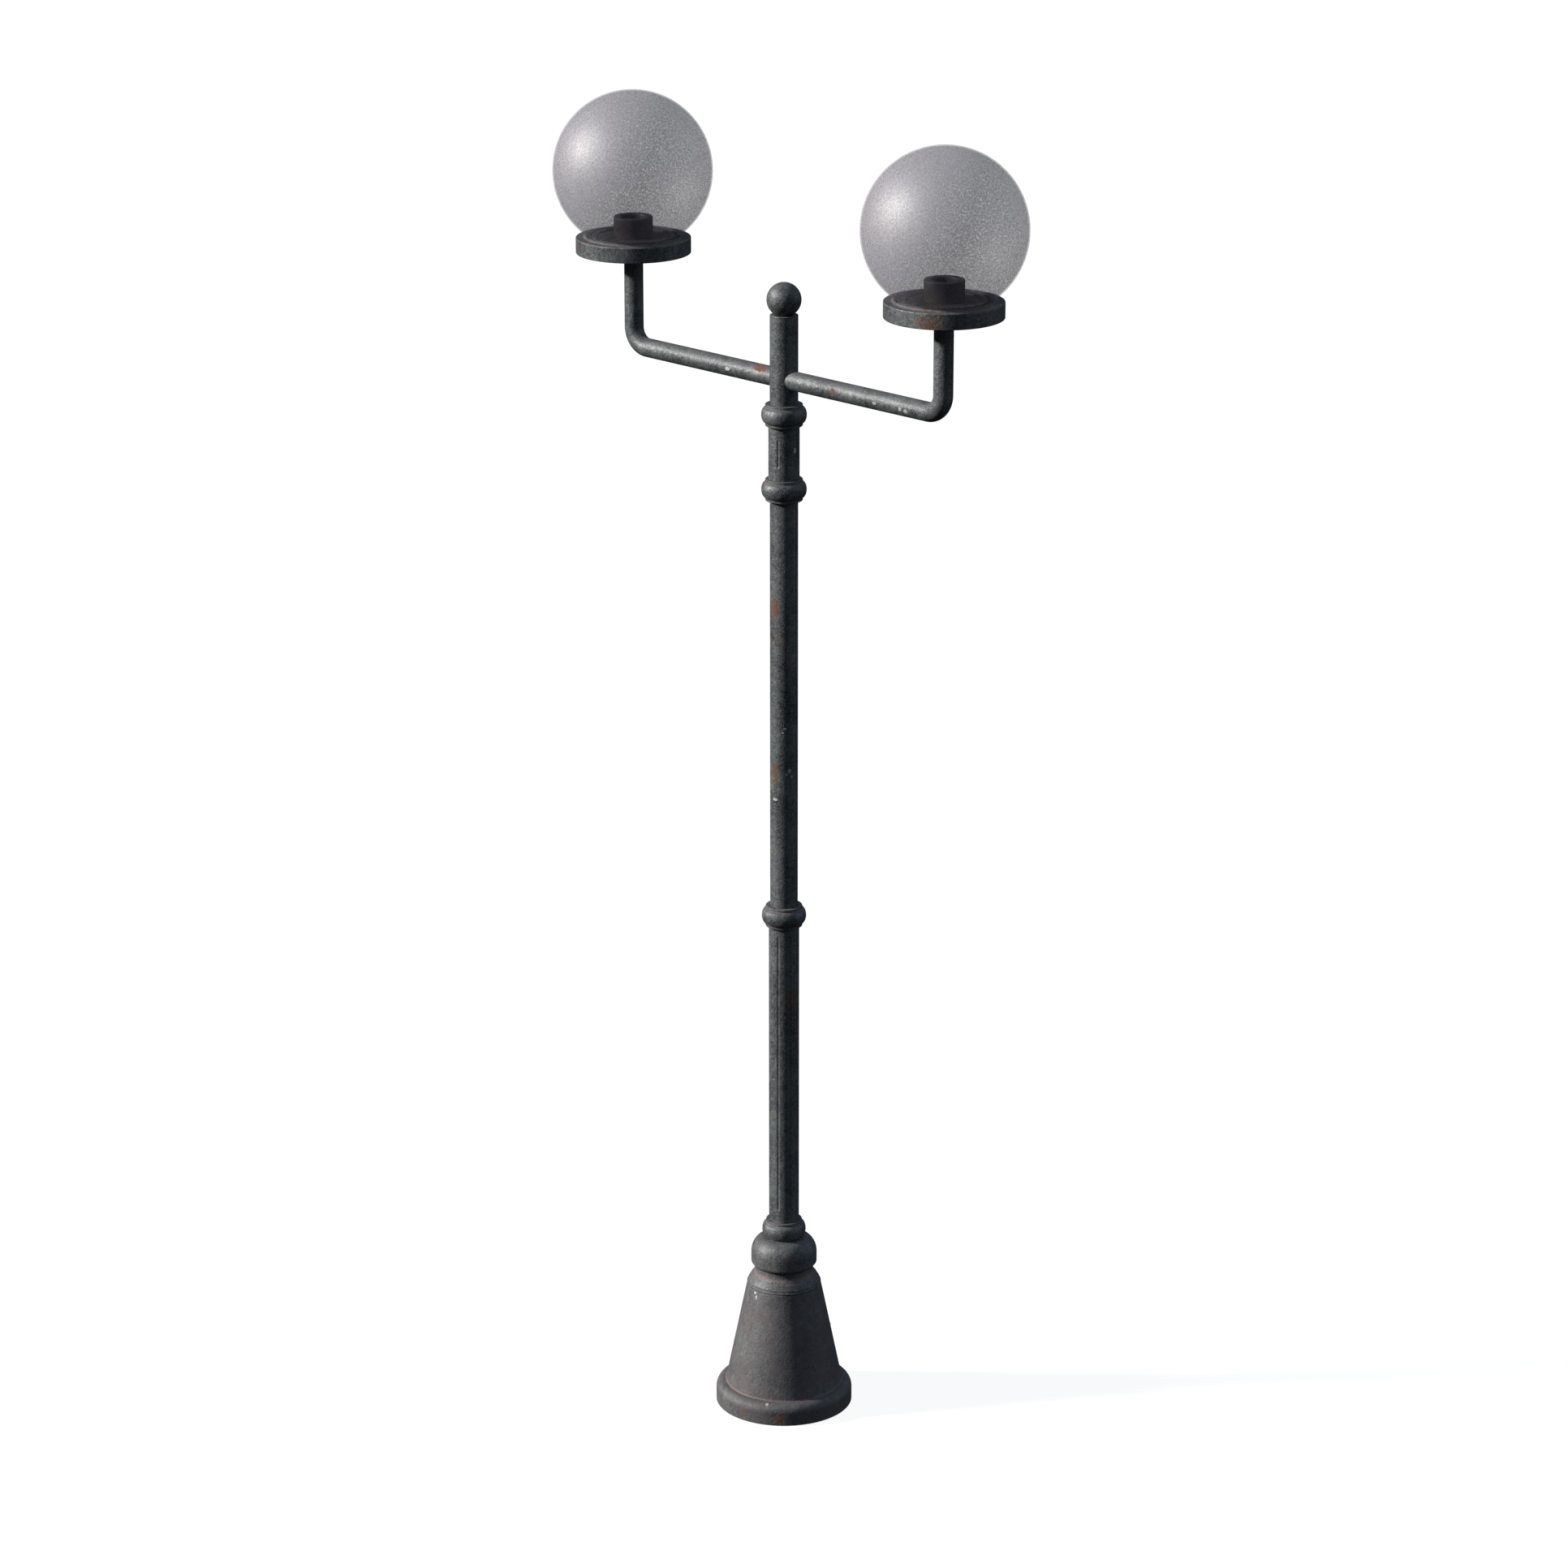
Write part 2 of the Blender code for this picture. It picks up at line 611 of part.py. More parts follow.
def make_head():
    head = tube("head_tube", UPPER_RADIUS, UPPER_BORE, SPLIT_Z + GAP, POST_TOP - 0.004, "painted_steel")
    wire_hole = rod("hole", 0.020, -0.08, 0.08, "painted_steel", ARM_SIDES)
    turn = Matrix.Translation((0, 0, ARM_Z)) @ Matrix.Rotation(math.pi / 2, 4, "Y")
    cut(head, place(wire_hole, turn))
    cap_low = POST_TOP - 0.004 + GAP
    stem = 0.008
    cap = [
        (stem + GAP, cap_low - 0.022),
        (UPPER_BORE - GAP, cap_low - 0.022),
        (UPPER_BORE - GAP, cap_low),
        (UPPER_RADIUS, cap_low),
        (UPPER_RADIUS, POST_TOP - 0.0015),
        (UPPER_RADIUS - 0.0015, POST_TOP),
        (0.030, POST_TOP),
        (0.014, BALL_Z - BALL_RADIUS),
        (stem + GAP, BALL_Z - BALL_RADIUS - GAP),
    ]
    lathe("post_cap", cap, "cast_iron")
    bottom = math.degrees(math.asin(-math.sqrt(1 - (stem / BALL_RADIUS) ** 2)))
    ball = arc((0.0, BALL_Z + GAP), BALL_RADIUS, bottom, 90, 8)
    ball[-1] = (0.0, BALL_Z + GAP + BALL_RADIUS)
    foot = cap_low - 0.034
    lathe("ball_finial", [(0.0, foot), (stem, foot)] + ball, "cast_iron", 20, ring=False)
    nut_head = cap_low - 0.022 - GAP
    nut = rod("finial_nut", 0.015, nut_head - 0.008, nut_head, "zinc_steel", 6)
    cut(nut, rod("hole", stem + GAP, cap_low - 0.05, cap_low, "zinc_steel", 16))


def arm_path():
    """Centre line of an arm: points, each with the direction of the tube there."""
    bend_x = ARM_REACH - BEND_RADIUS
    path = [((0.020, ARM_Z), (1.0, 0.0))]
    for i in range(7):
        turn = math.radians(90 * i / 6)
        spot = (bend_x + BEND_RADIUS * math.sin(turn), ARM_Z + BEND_RADIUS * (1 - math.cos(turn)))
        path.append((spot, (math.cos(turn), math.sin(turn))))
    path.append(((ARM_REACH, STUB_TOP), (0.0, 1.0)))
    return path


def make_arm(name, side):
    """A bent tube, from a saddle on the head tube out and up into its lamp's hub."""
    bm = bmesh.new()
    walls = []
    for radius in (ARM_RADIUS, ARM_BORE):
        rings = []
        for (x, z), (dx, dz) in arm_path():
            ring = []
            for i in range(ARM_SIDES):
                angle = math.tau * i / ARM_SIDES
                lift = radius * math.cos(angle)
                ring.append(bm.verts.new((x - dz * lift, radius * math.sin(angle), z + dx * lift)))
            rings.append(ring)
        walls.append(rings)
    outer, inner = walls
    # The outer rings, then the inner rings back again, make one closed skin.
    loop = outer + inner[::-1]
    for ring, following in zip(loop, loop[1:] + loop[:1]):
        for i in range(ARM_SIDES):
            k = (i + 1) % ARM_SIDES
            bm.faces.new((ring[i], ring[k], following[k], following[i]))
    arm = finish_object(bm, name, "painted_steel")
    cut(arm, rod("saddle", UPPER_RADIUS + GAP, ARM_Z - 0.1, ARM_Z + 0.1, "painted_steel", ROUND))
    if side < 0:
        place(arm, Matrix.Rotation(math.pi, 4, "Z"))
    return arm


# ---- Lamps ----
def make_pan(name, shift):
    outline = [
        (PAN_RADIUS, PAN_FOOT),
        (PAN_RADIUS, PAN_TOP - 0.002),
        (PAN_RADIUS - 0.002, PAN_TOP),
        (0.1535, PAN_TOP),
        (0.1490, PLATEAU),
        (0.1455, PLATEAU),
        (0.1455, SEAT),
        (0.1280, SEAT),
        (0.1280, PLATEAU),
        (0.1150, PLATEAU),
        (0.1110, RECESS),
        (0.0125, RECESS),
        (0.0125, STUB_TOP + GAP),
        (ARM_RADIUS + GAP, STUB_TOP + GAP),
        (ARM_RADIUS + GAP, PAN_FOOT + 0.003),
        (HUB_RADIUS, PAN_FOOT + 0.003),
        (HUB_RADIUS, SEAT - 0.006),
        (PAN_RADIUS - 0.006, SEAT - 0.006),
        (PAN_RADIUS - 0.006, PAN_FOOT),
    ]
    pan = lathe(name + "_pan", outline, "cast_iron")
    screw_z = PAN_FOOT + 0.018
    hole = rod("hole", 0.0035, 0.0, 0.030, "cast_iron", 12)
    cut(pan, along_y(hole, 0.0, 0.020, screw_z))
    screw = rod(name + "_hub_screw", 0.0030, 0.0, 0.018, "zinc_steel", 12)
    along_y(screw, 0.0, ARM_RADIUS + GAP, screw_z)
    grommet = tube(name + "_grommet", 0.0120, 0.0060, STUB_TOP + 2 * GAP, RECESS, "rubber", SMALL_ROUND)
    low, high = SEAT + 0.0003, GLOBE_FOOT - 0.0003
    gasket = tube(name + "_gasket", 0.1450, 0.1290, low, high, "rubber")
    for piece in (pan, screw, grommet, gasket):
        piece.location.x = shift


def make_lampholder(name, shift):
    foot = RECESS + GAP
    cup = [
        (CUP_RADIUS, foot),
        (CUP_RADIUS, CUP_TOP - 0.002),
        (CUP_RADIUS - 0.002, CUP_TOP),
        (CUP_BORE, CUP_TOP),
        (CUP_BORE, CUP_FLOOR),
        (0.0100, CUP_FLOOR),
        (0.0100, foot),
    ]
    low = CUP_FLOOR + GAP
    porcelain = [
        (0.0245, low),
        (0.0245, low + 0.022),
        (0.0215, low + 0.029),
        (0.0150, low + 0.029),
        (0.0150, low + 0.006),
        (0.0070, low + 0.006),
        (0.0070, low),
    ]
    shell_low = low + 0.006 + GAP
    shell = [
        (0.0145, shell_low),
        (0.0145, shell_low + 0.021),
        (0.0137, shell_low + 0.021),
        (0.0137, shell_low + 0.001),
        (0.0100, shell_low + 0.001),
        (0.0100, shell_low),
    ]
    contact = [
        (0.0, low - 0.004),
        (0.0035, low - 0.004),
        (0.0035, shell_low + 0.0015),
        (0.0055, shell_low + 0.0015),
        (0.0045, shell_low + 0.0035),
        (0.0, shell_low + 0.0040),
    ]
    pieces = [
        lathe(name + "_lampholder_cup", cup, "dark_plastic", 20),
        lathe(name + "_lampholder", porcelain, "porcelain", 16),
        lathe(name + "_screw_shell", shell, "brass", 16),
        lathe(name + "_centre_contact", contact, "brass", SMALL_ROUND, ring=False),
    ]
    for piece in pieces:
        piece.location.x = shift


def make_globe(name, shift):
    cut_z = GLOBE_Z - math.sqrt(GLOBE_RADIUS**2 - NECK_RADIUS**2)
    inner = GLOBE_RADIUS - GLOBE_WALL
    neck_bore = NECK_RADIUS - GLOBE_WALL
    outer_foot = -math.degrees(math.acos(NECK_RADIUS / GLOBE_RADIUS))
    inner_foot = -math.degrees(math.acos(neck_bore / inner))
    outside = arc((0.0, GLOBE_Z), GLOBE_RADIUS, 90, 0, 7)
    outside += arc((0.0, GLOBE_Z), GLOBE_RADIUS, 0, outer_foot, 5)[1:]
    inside = arc((0.0, GLOBE_Z), inner, inner_foot, 90, 9)
    outside[0] = (0.0, GLOBE_Z + GLOBE_RADIUS)
    inside[-1] = (0.0, GLOBE_Z + inner)
    outline = outside + [(NECK_RADIUS, GLOBE_FOOT), (neck_bore, GLOBE_FOOT)] + inside
    assert cut_z > GLOBE_FOOT
    globe = lathe(name + "_globe", outline, "smoked_glass", ring=False)
    globe.location.x = shift


# ---- Assembly ----
def main():
    clear_scene()
    make_base_plate()
    make_pedestal()
    make_urn()
    make_cutout()
    make_shafts()
    make_collars()
    make_neck()
    make_head()

    hinge = empty_at("door_hinge", hinge_matrix())
    attach(make_door(), hinge)
    pin_length = KNUCKLE_LENGTH + 0.001
    for place_name, height in zip(("lower", "upper"), HINGE_HEIGHTS):
        pin = rod(f"hinge_pin_{place_name}", PIN_RADIUS, -pin_length, pin_length, "stainless", 12)
        on_hinge(pin, height)
    lock_axis = Matrix.Translation((LOCK_X, LOCK_FACE, LOCK_Z))
    lock = empty_at("lock_axis", lock_axis)
    for piece in make_lock():
        attach(piece, lock)

    for name, side in (("left", -1), ("right", 1)):
        shift = side * ARM_REACH
        make_arm(name + "_arm", side)
        make_pan(name, shift)
        make_lampholder(name, shift)
        make_globe(name, shift)


main()
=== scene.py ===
"""Looks of the twin-globe street lamp post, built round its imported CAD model.

The visible castings, tubes and globes are made again here as fine surfaces, from the CAD
nodes' boxes and the section sizes below, and every node gets a procedural finish:
weathered paint, smoky frosted globe, zinc, stainless steel, brass, porcelain, plastic and
rubber. Everything is in metres, +Z up, in the CAD model's own frame.
"""

import json
import math

import bmesh
import bpy
from mathutils import Matrix, Vector


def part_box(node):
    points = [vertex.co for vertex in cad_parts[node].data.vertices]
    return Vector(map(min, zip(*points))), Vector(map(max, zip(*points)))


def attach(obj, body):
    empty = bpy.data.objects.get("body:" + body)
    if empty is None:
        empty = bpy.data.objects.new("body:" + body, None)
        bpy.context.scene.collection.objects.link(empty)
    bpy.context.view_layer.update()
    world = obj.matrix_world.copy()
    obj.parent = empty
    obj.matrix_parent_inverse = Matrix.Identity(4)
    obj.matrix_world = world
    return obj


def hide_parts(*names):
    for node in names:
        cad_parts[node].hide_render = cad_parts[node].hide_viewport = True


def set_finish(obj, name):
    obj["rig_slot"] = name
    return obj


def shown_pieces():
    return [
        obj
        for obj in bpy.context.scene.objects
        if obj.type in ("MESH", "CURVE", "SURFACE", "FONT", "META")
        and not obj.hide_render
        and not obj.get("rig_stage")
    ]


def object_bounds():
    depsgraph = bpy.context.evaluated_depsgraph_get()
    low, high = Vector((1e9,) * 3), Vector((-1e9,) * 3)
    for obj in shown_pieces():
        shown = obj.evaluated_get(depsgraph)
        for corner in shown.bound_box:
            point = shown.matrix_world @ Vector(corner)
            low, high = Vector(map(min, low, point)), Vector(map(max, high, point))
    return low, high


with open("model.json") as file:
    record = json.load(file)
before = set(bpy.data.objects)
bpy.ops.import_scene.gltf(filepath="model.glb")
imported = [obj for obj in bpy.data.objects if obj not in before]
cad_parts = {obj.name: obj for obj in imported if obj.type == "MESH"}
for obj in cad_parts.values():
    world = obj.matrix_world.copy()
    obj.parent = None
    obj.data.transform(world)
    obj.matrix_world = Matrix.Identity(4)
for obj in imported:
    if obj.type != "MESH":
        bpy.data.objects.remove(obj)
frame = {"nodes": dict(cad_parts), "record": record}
cad_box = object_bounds()
slot_of = {entry["node"]: entry["material_slot"] for entry in frame["record"]["subparts"]}
hinge = next(j for j in frame["record"]["behaviour"]["joints"] if j["name"] == "door_hinge")
HINGE_FOOT, HINGE_LEAN = Vector(hinge["pos_m"]), Vector(hinge["axis"]).normalized()

# ---- Section sizes, in metres ----
SIDES = 96  # sides of a fine round piece
CHIP = 0.0012  # radius on a cast or moulded edge
FADE = 0.004  # how far wear and dust reach from an edge or a crease
CONE_BOTTOM = (0.1886, 0.073)  # radius, height
CONE_TOP = (0.1176, 0.4235)
WALL = 0.0085
NECK_SEAT = 0.094  # radius of the pedestal's neck inside the urn
COLLAR_RING = 0.0582
BULGE_HALF = 0.0248
SHAFT_BORE = 0.0402
DOOR_HALF_WIDTH = 0.070
DOOR_FOOT, DOOR_HEAD = 0.1165, 0.3235  # on the outside of the cone
DOOR_CORNER = 0.018
DOOR_GAP = 0.0015  # all round the door
HINGE_STEP = 0.110  # from the lower hinge to the upper one
KNUCKLE = (0.0055, 0.0110)  # radius, half length
PARTING = 0.00025  # half the gap between two knuckles
PIN_BORE = 0.00275
DOOR_WEB = (0.0002, 0.0190, -0.0022, 0.0028)  # x from, x to, y from, y to at the hinge
PEDESTAL_WEB = (-0.0085, -0.0002, -0.0185, 0.0005)
LOCK = (0.048, 0.1265, 0.225)  # back of the lock's boss
LOCK_FACE = 0.156
LOCK_BOSS, LOCK_BORE = 0.0120, 0.0060  # radii
FLUTES = 8
FLUTE_HALF_WIDTH = 0.0046
FLUTE_DEPTH = 0.0018
ARM_BORE = 0.0265
ARM_BEND = 0.060
GLOBE_WALL = 0.004
GLOBE_NECK = 0.1405
COLLAR_GAP, SEAT_GAP, NECK_GAP, TUBE_GAP = 0.0002, 0.0003, 0.0004, 0.0005
LAMPS = ("left", "right")


# ---- Mesh tools ----
def fillet(outline, closed):
    """Rounds a turned outline's corners. A point may carry a third value, its corner radius."""
    made = []
    count = len(outline)
    for i, (r, z, *rest) in enumerate(outline):
        here = Vector((r, z))
        radius = rest[0] if rest else 0.0
        if radius == 0 or (not closed and i in (0, count - 1)):
            made.append((here, 0.0))
            continue
        before = Vector(outline[i - 1][:2]) - here
        after = Vector(outline[(i + 1) % count][:2]) - here
        half = before.angle(after) / 2
        reach = min(radius / math.tan(half), before.length * 0.48, after.length * 0.48)
        radius = reach * math.tan(half)
        centre = here + (before.normalized() + after.normalized()).normalized() * (
            radius / math.sin(half)
        )
        start = here + before.normalized() * reach - centre
        end = here + after.normalized() * reach - centre
        # The outline runs up the outside, so a left turn there is a convex edge.
        convex = 1.0 if before.cross(after) < 0 else -1.0
        for k in range(5):
            spoke = start.lerp(end, k / 4).normalized() * radius
            made.append((centre + spoke, convex))
    return fade(made, closed)


def fade(points, closed):
    """Adds a plain point a little way along each long side, so wear stays near the edges."""
    spaced = []
    for i, (here, worn) in enumerate(points):
        spaced.append((here, worn))
        if not closed and i == len(points) - 1:
            break
        there, next_worn = points[(i + 1) % len(points)]
        if (there - here).length > 3 * FADE and (worn or next_worn):
            way = (there - here).normalized() * FADE
            spaced += [(here + way, 0.0), (there - way, 0.0)]
    return spaced


def shade(mesh, angle=32):
    mesh.shade_smooth()
    mesh.set_sharp_from_angle(angle=math.radians(angle))


def add_piece(mesh, name):
    obj = bpy.data.objects.new(name, mesh)
    bpy.context.scene.collection.objects.link(obj)
    return obj


def store_wear(mesh, values):
    """Keeps how worn (+1) or how sheltered (-1) each point is, for the paint to read."""
    layer = mesh.attributes.new("wear", "FLOAT", "POINT")
    layer.data.foreach_set("value", values)


def turned(name, outline, sides=SIDES, closed=True, x=0.0, relief=None):
    """A solid of revolution about the vertical line at x. relief(angle, r, z) moves a radius."""
    points = fillet(outline, closed)
    verts, wear, faces = [], [], []
    for point, worn in points:
        for k in range(sides):
            angle = math.tau * k / sides
            r = point.x + (relief(angle, point.x, point.y) if relief else 0.0)
            verts.append((x + r * math.cos(angle), r * math.sin(angle), point.y))
            wear.append(worn)
    rows = len(points)
    for i in range(rows if closed else rows - 1):
        j = (i + 1) % rows
        for k in range(sides):
            m = (k + 1) % sides
            faces.append((i * sides + k, i * sides + m, j * sides + m, j * sides + k))
    mesh = bpy.data.meshes.new(name)
    mesh.from_pydata(verts, [], faces)
    store_wear(mesh, wear)
    bm = bmesh.new()
    bm.from_mesh(mesh)
    bmesh.ops.remove_doubles(bm, verts=bm.verts, dist=1e-6)
    bmesh.ops.recalc_face_normals(bm, faces=bm.faces)
    bm.to_mesh(mesh)
    bm.free()
    shade(mesh)
    return add_piece(mesh, name)


def prism(outline, depth):
    """An outline in X and Z extruded along +Y, as a cutter that is never shown."""
    bm = bmesh.new()
    face = bm.faces.new([bm.verts.new((x, 0.0, z)) for x, z in outline])
    grown = bmesh.ops.extrude_face_region(bm, geom=[face])["geom"]
    corners = [item for item in grown if isinstance(item, bmesh.types.BMVert)]
    bmesh.ops.translate(bm, verts=corners, vec=(0, depth, 0))
    bmesh.ops.recalc_face_normals(bm, faces=bm.faces)
    mesh = bpy.data.meshes.new("cutter")
    bm.to_mesh(mesh)
    bm.free()
    return add_piece(mesh, "cutter")


def moved(obj, matrix):
    obj.data.transform(matrix)
    return obj


def boolean(target, other, operation):
    """Applies one Boolean to the target's mesh and removes the other object."""
    modifier = target.modifiers.new("boolean", "BOOLEAN")
    modifier.operation = operation
    modifier.object = other
    modifier.solver = "EXACT"
    graph = bpy.context.evaluated_depsgraph_get()
    result = bpy.data.meshes.new_from_object(target.evaluated_get(graph))
    target.modifiers.clear()
    target.data = result
    shade(result)
    bpy.data.objects.remove(other)
    return target


def arc(centre, radius, start, end, steps):
    rx, ry = radius if isinstance(radius, tuple) else (radius, radius)
    angles = [math.radians(start + (end - start) * i / steps) for i in range(steps + 1)]
    return [(centre[0] + rx * math.cos(a), centre[1] + ry * math.sin(a)) for a in angles]


def stand_in(piece, node, body="post"):
    """The piece stands for a CAD node, rides on its body and takes its finish."""
    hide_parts(node)
    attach(piece, body)
    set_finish(piece, slot_of[node])
    return piece


def span(node):
    """A node's foot, head and largest radius about the post's axis."""
    low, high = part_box(node)
    return low.z, high.z, high.y


# ---- Finishes ----
class Nodes:
    """A small helper that adds and links shader nodes from left to right."""

    def __init__(self, name):
        self.material = bpy.data.materials.new(name)
        self.material.use_nodes = True
        self.tree = self.material.node_tree
        self.shader = self.tree.nodes["Principled BSDF"]
        self.place = self.add("ShaderNodeTexCoord").outputs["Object"]

    def add(self, kind, **settings):
        node = self.tree.nodes.new(kind)
        for key, value in settings.items():
            setattr(node, key, value)
        return node

    def feed(self, socket, value):
        if isinstance(value, bpy.types.NodeSocket):
            self.tree.links.new(value, socket)
        elif value is not None:
            socket.default_value = value

    def stretched(self, x, y, z):
        node = self.add("ShaderNodeMapping")
        node.inputs["Scale"].default_value = (x, y, z)
        self.feed(node.inputs["Vector"], self.place)
        return node.outputs["Vector"]

    def noise(self, scale, detail=3.0, rough=0.55, where=None, offset=0.0, distortion=0.0):
        node = self.add("ShaderNodeTexNoise", noise_dimensions="4D")
        self.feed(node.inputs["Vector"], where or self.place)
        self.feed(node.inputs["W"], offset)
        self.feed(node.inputs["Scale"], scale)
        self.feed(node.inputs["Detail"], detail)
        self.feed(node.inputs["Roughness"], rough)
        self.feed(node.inputs["Distortion"], distortion)
        return node.outputs["Fac"]

    def cells(self, scale, feature="F1", where=None, jitter=1.0):
        node = self.add("ShaderNodeTexVoronoi", feature=feature)
        self.feed(node.inputs["Vector"], where or self.place)
        self.feed(node.inputs["Scale"], scale)
        self.feed(node.inputs["Randomness"], jitter)
        return node.outputs["Distance"]

    def band(self, value, low, high, to_low=0.0, to_high=1.0):
        """Maps a value smoothly from low..high onto to_low..to_high, clamped."""
        node = self.add("ShaderNodeMapRange", interpolation_type="SMOOTHSTEP")
        for socket, number in zip(node.inputs, (value, low, high, to_low, to_high)):
            self.feed(socket, number)
        return node.outputs["Result"]

    def math(self, operation, a, b=0.5, clamp=False):
        node = self.add("ShaderNodeMath", operation=operation, use_clamp=clamp)
        self.feed(node.inputs[0], a)
        self.feed(node.inputs[1], b)
        return node.outputs[0]

    def mix(self, factor, a, b):
        node = self.add("ShaderNodeMix", data_type="RGBA")
        self.feed(node.inputs["Factor"], factor)
        for socket, value in ((node.inputs[6], a), (node.inputs[7], b)):
            self.feed(socket, (*value, 1.0) if isinstance(value, tuple) else value)
        return node.outputs[2]

    def mixed(self, factor, a, b):
        node = self.add("ShaderNodeMix", data_type="FLOAT")
        self.feed(node.inputs["Factor"], factor)
        self.feed(node.inputs[2], a)
        self.feed(node.inputs[3], b)
        return node.outputs[0]

    def spots(self, places):
        """1 at the middle of each place, falling to 0 past its edge."""
        nearest = 0.0
        for x, y, z, wide, tall in places:
            step = self.add("ShaderNodeVectorMath", operation="SUBTRACT")
            self.feed(step.inputs[0], self.place)
            self.feed(step.inputs[1], (x, y, z))
            scaled = self.add("ShaderNodeVectorMath", operation="DIVIDE")
            self.feed(scaled.inputs[0], step.outputs[0])
            self.feed(scaled.inputs[1], (wide, wide, tall))
            length = self.add("ShaderNodeVectorMath", operation="LENGTH")
            self.feed(length.inputs[0], scaled.outputs[0])
            nearest = self.math("MAXIMUM", nearest, self.band(length.outputs["Value"], 1.5, 0.3))
        return nearest

    def bump(self, height, strength, distance, below=None):
        node = self.add("ShaderNodeBump")
        self.feed(node.inputs["Height"], height)
        self.feed(node.inputs["Strength"], strength)
        self.feed(node.inputs["Distance"], distance)
        self.feed(node.inputs["Normal"], below)
        return node.outputs["Normal"]

    def finish(self, colour=None, roughness=None, normal=None, **fixed):
        for name, value in (("Base Color", colour), ("Roughness", roughness), ("Normal", normal)):
            if isinstance(value, tuple):
                value = (*value, 1.0)
            self.feed(self.shader.inputs[name], value)
        for name, value in fixed.items():
            self.shader.inputs[name.replace("_", " ").title()].default_value = value
        return self.material


# Share of the way from straight down to straight up, and the fill light from there.
SKY = (
    (0.00, (0.024, 0.020, 0.018)),
    (0.44, (0.030, 0.028, 0.028)),
    (0.52, (0.056, 0.066, 0.082)),
    (0.99, (0.230, 0.300, 0.400)),
)
PAINT_DARK = (0.024, 0.030, 0.033)
PAINT_LIGHT = (0.130, 0.142, 0.145)
DUST = (0.094, 0.080, 0.083)
CREASE = (0.165, 0.105, 0.098)
RUST_DARK = (0.060, 0.026, 0.016)
RUST_LIGHT = (0.260, 0.100, 0.045)
PRIMER = (0.40, 0.40, 0.39)
SPECK_LIGHT = (0.235, 0.250, 0.250)
SPECK_DARK = (0.012, 0.015, 0.017)
CHALK = (0.190, 0.205, 0.200)
# Where rust has broken out: the place, and the patch's half width and half height.
RUST_SPOTS = (
    (0.000, -0.044, 2.150, 0.018, 0.058),
    (0.001, -0.044, 2.700, 0.014, 0.034),
    (0.762, -0.162, 3.740, 0.080, 0.046),
    (-0.719, -0.172, 3.744, 0.012, 0.014),
    (-0.084, -0.018, 3.441, 0.045, 0.014),
    (0.050, -0.027, 3.431, 0.022, 0.014),
    (0.233, -0.029, 3.422, 0.028, 0.014),
    (0.035, -0.218, 0.030, 0.024, 0.014),
)
# Bare chips and scratches, in the same way.
CHIP_SPOTS = (
    (0.004, -0.044, 2.074, 0.010, 0.006),
    (0.040, -0.017, 2.170, 0.007, 0.009),
    (0.043, -0.008, 2.150, 0.004, 0.006),
    (0.036, -0.025, 2.158, 0.005, 0.004),
    (0.033, -0.029, 2.309, 0.007, 0.004),
    (0.027, -0.034, 2.296, 0.005, 0.003),
    (0.515, -0.030, 3.415, 0.008, 0.008),
    (0.538, -0.030, 3.412, 0.010, 0.008),
    (0.410, -0.030, 3.415, 0.009, 0.005),
    (-0.217, -0.030, 3.417, 0.012, 0.007),
    (0.048, -0.001, 3.200, 0.008, 0.012),
    (-0.012, -0.121, 0.406, 0.006, 0.005),
    (-0.004, -0.124, 0.393, 0.004, 0.010),
    (0.101, -0.180, 0.067, 0.006, 0.006),
)


def paint_coat(n, seed):
    """Old grey-black paint: broad blotches, fine mottling, long vertical runs and specks."""
    blotch = n.noise(9.0, 4.0, 0.62, offset=seed)
    mottle = n.noise(62.0, 4.0, 0.66, offset=seed + 3)
    runs = n.noise(1.0, 4.0, 0.6, where=n.stretched(52, 52, 3.2), offset=seed + 7)
    tone = n.math("ADD", n.math("MULTIPLY", blotch, 0.45), n.math("MULTIPLY", mottle, 0.35))
    tone = n.math("ADD", tone, n.math("MULTIPLY", runs, 0.30))
    colour = n.mix(n.band(tone, 0.40, 0.70), PAINT_DARK, PAINT_LIGHT)
    speck = n.noise(260.0, 2.0, 0.6, offset=seed + 11)
    colour = n.mix(n.band(speck, 0.48, 0.70, 0.0, 0.75), colour, SPECK_LIGHT)
    colour = n.mix(n.band(speck, 0.44, 0.30, 0.0, 0.6), colour, SPECK_DARK)
    return colour, mottle, speck


def settled_dust(n, sheltered, dust_line, seed):
    """How thick brown dust lies: in sheltered corners, on ledges and below dust_line."""
    normal = n.add("ShaderNodeNewGeometry").outputs["Normal"]
    up = n.add("ShaderNodeSeparateXYZ")
    n.feed(up.inputs[0], normal)
    at = n.add("ShaderNodeSeparateXYZ")
    n.feed(at.inputs[0], n.place)
    ledge = n.band(up.outputs["Z"], 0.25, 0.95, 0.0, 0.55)
    low = n.band(at.outputs["Z"], dust_line, 0.25, 0.0, 0.76)
    dust = n.math("MAXIMUM", n.math("MAXIMUM", sheltered, ledge), low)
    patchy = n.band(n.noise(17.0, 5.0, 0.72, offset=seed + 17), 0.36, 0.58, 0.35, 1.0)
    return n.math("MULTIPLY", dust, patchy)


def rust_blooms(n, sheltered, ragged, seed):
    """Where rust has come through, with ragged edges: more of it in corners and at the spots."""
    bloom = n.noise(5.3, 3.0, 0.55, offset=seed + 23)
    spread = n.math("ADD", n.math("MULTIPLY", bloom, 0.72), n.math("MULTIPLY", ragged, 0.38))
    spread = n.math("ADD", spread, n.math("MULTIPLY", sheltered, 0.035))
    spread = n.math("ADD", spread, n.math("MULTIPLY", n.spots(RUST_SPOTS), 0.200))
    return n.band(spread, 0.680, 0.735)


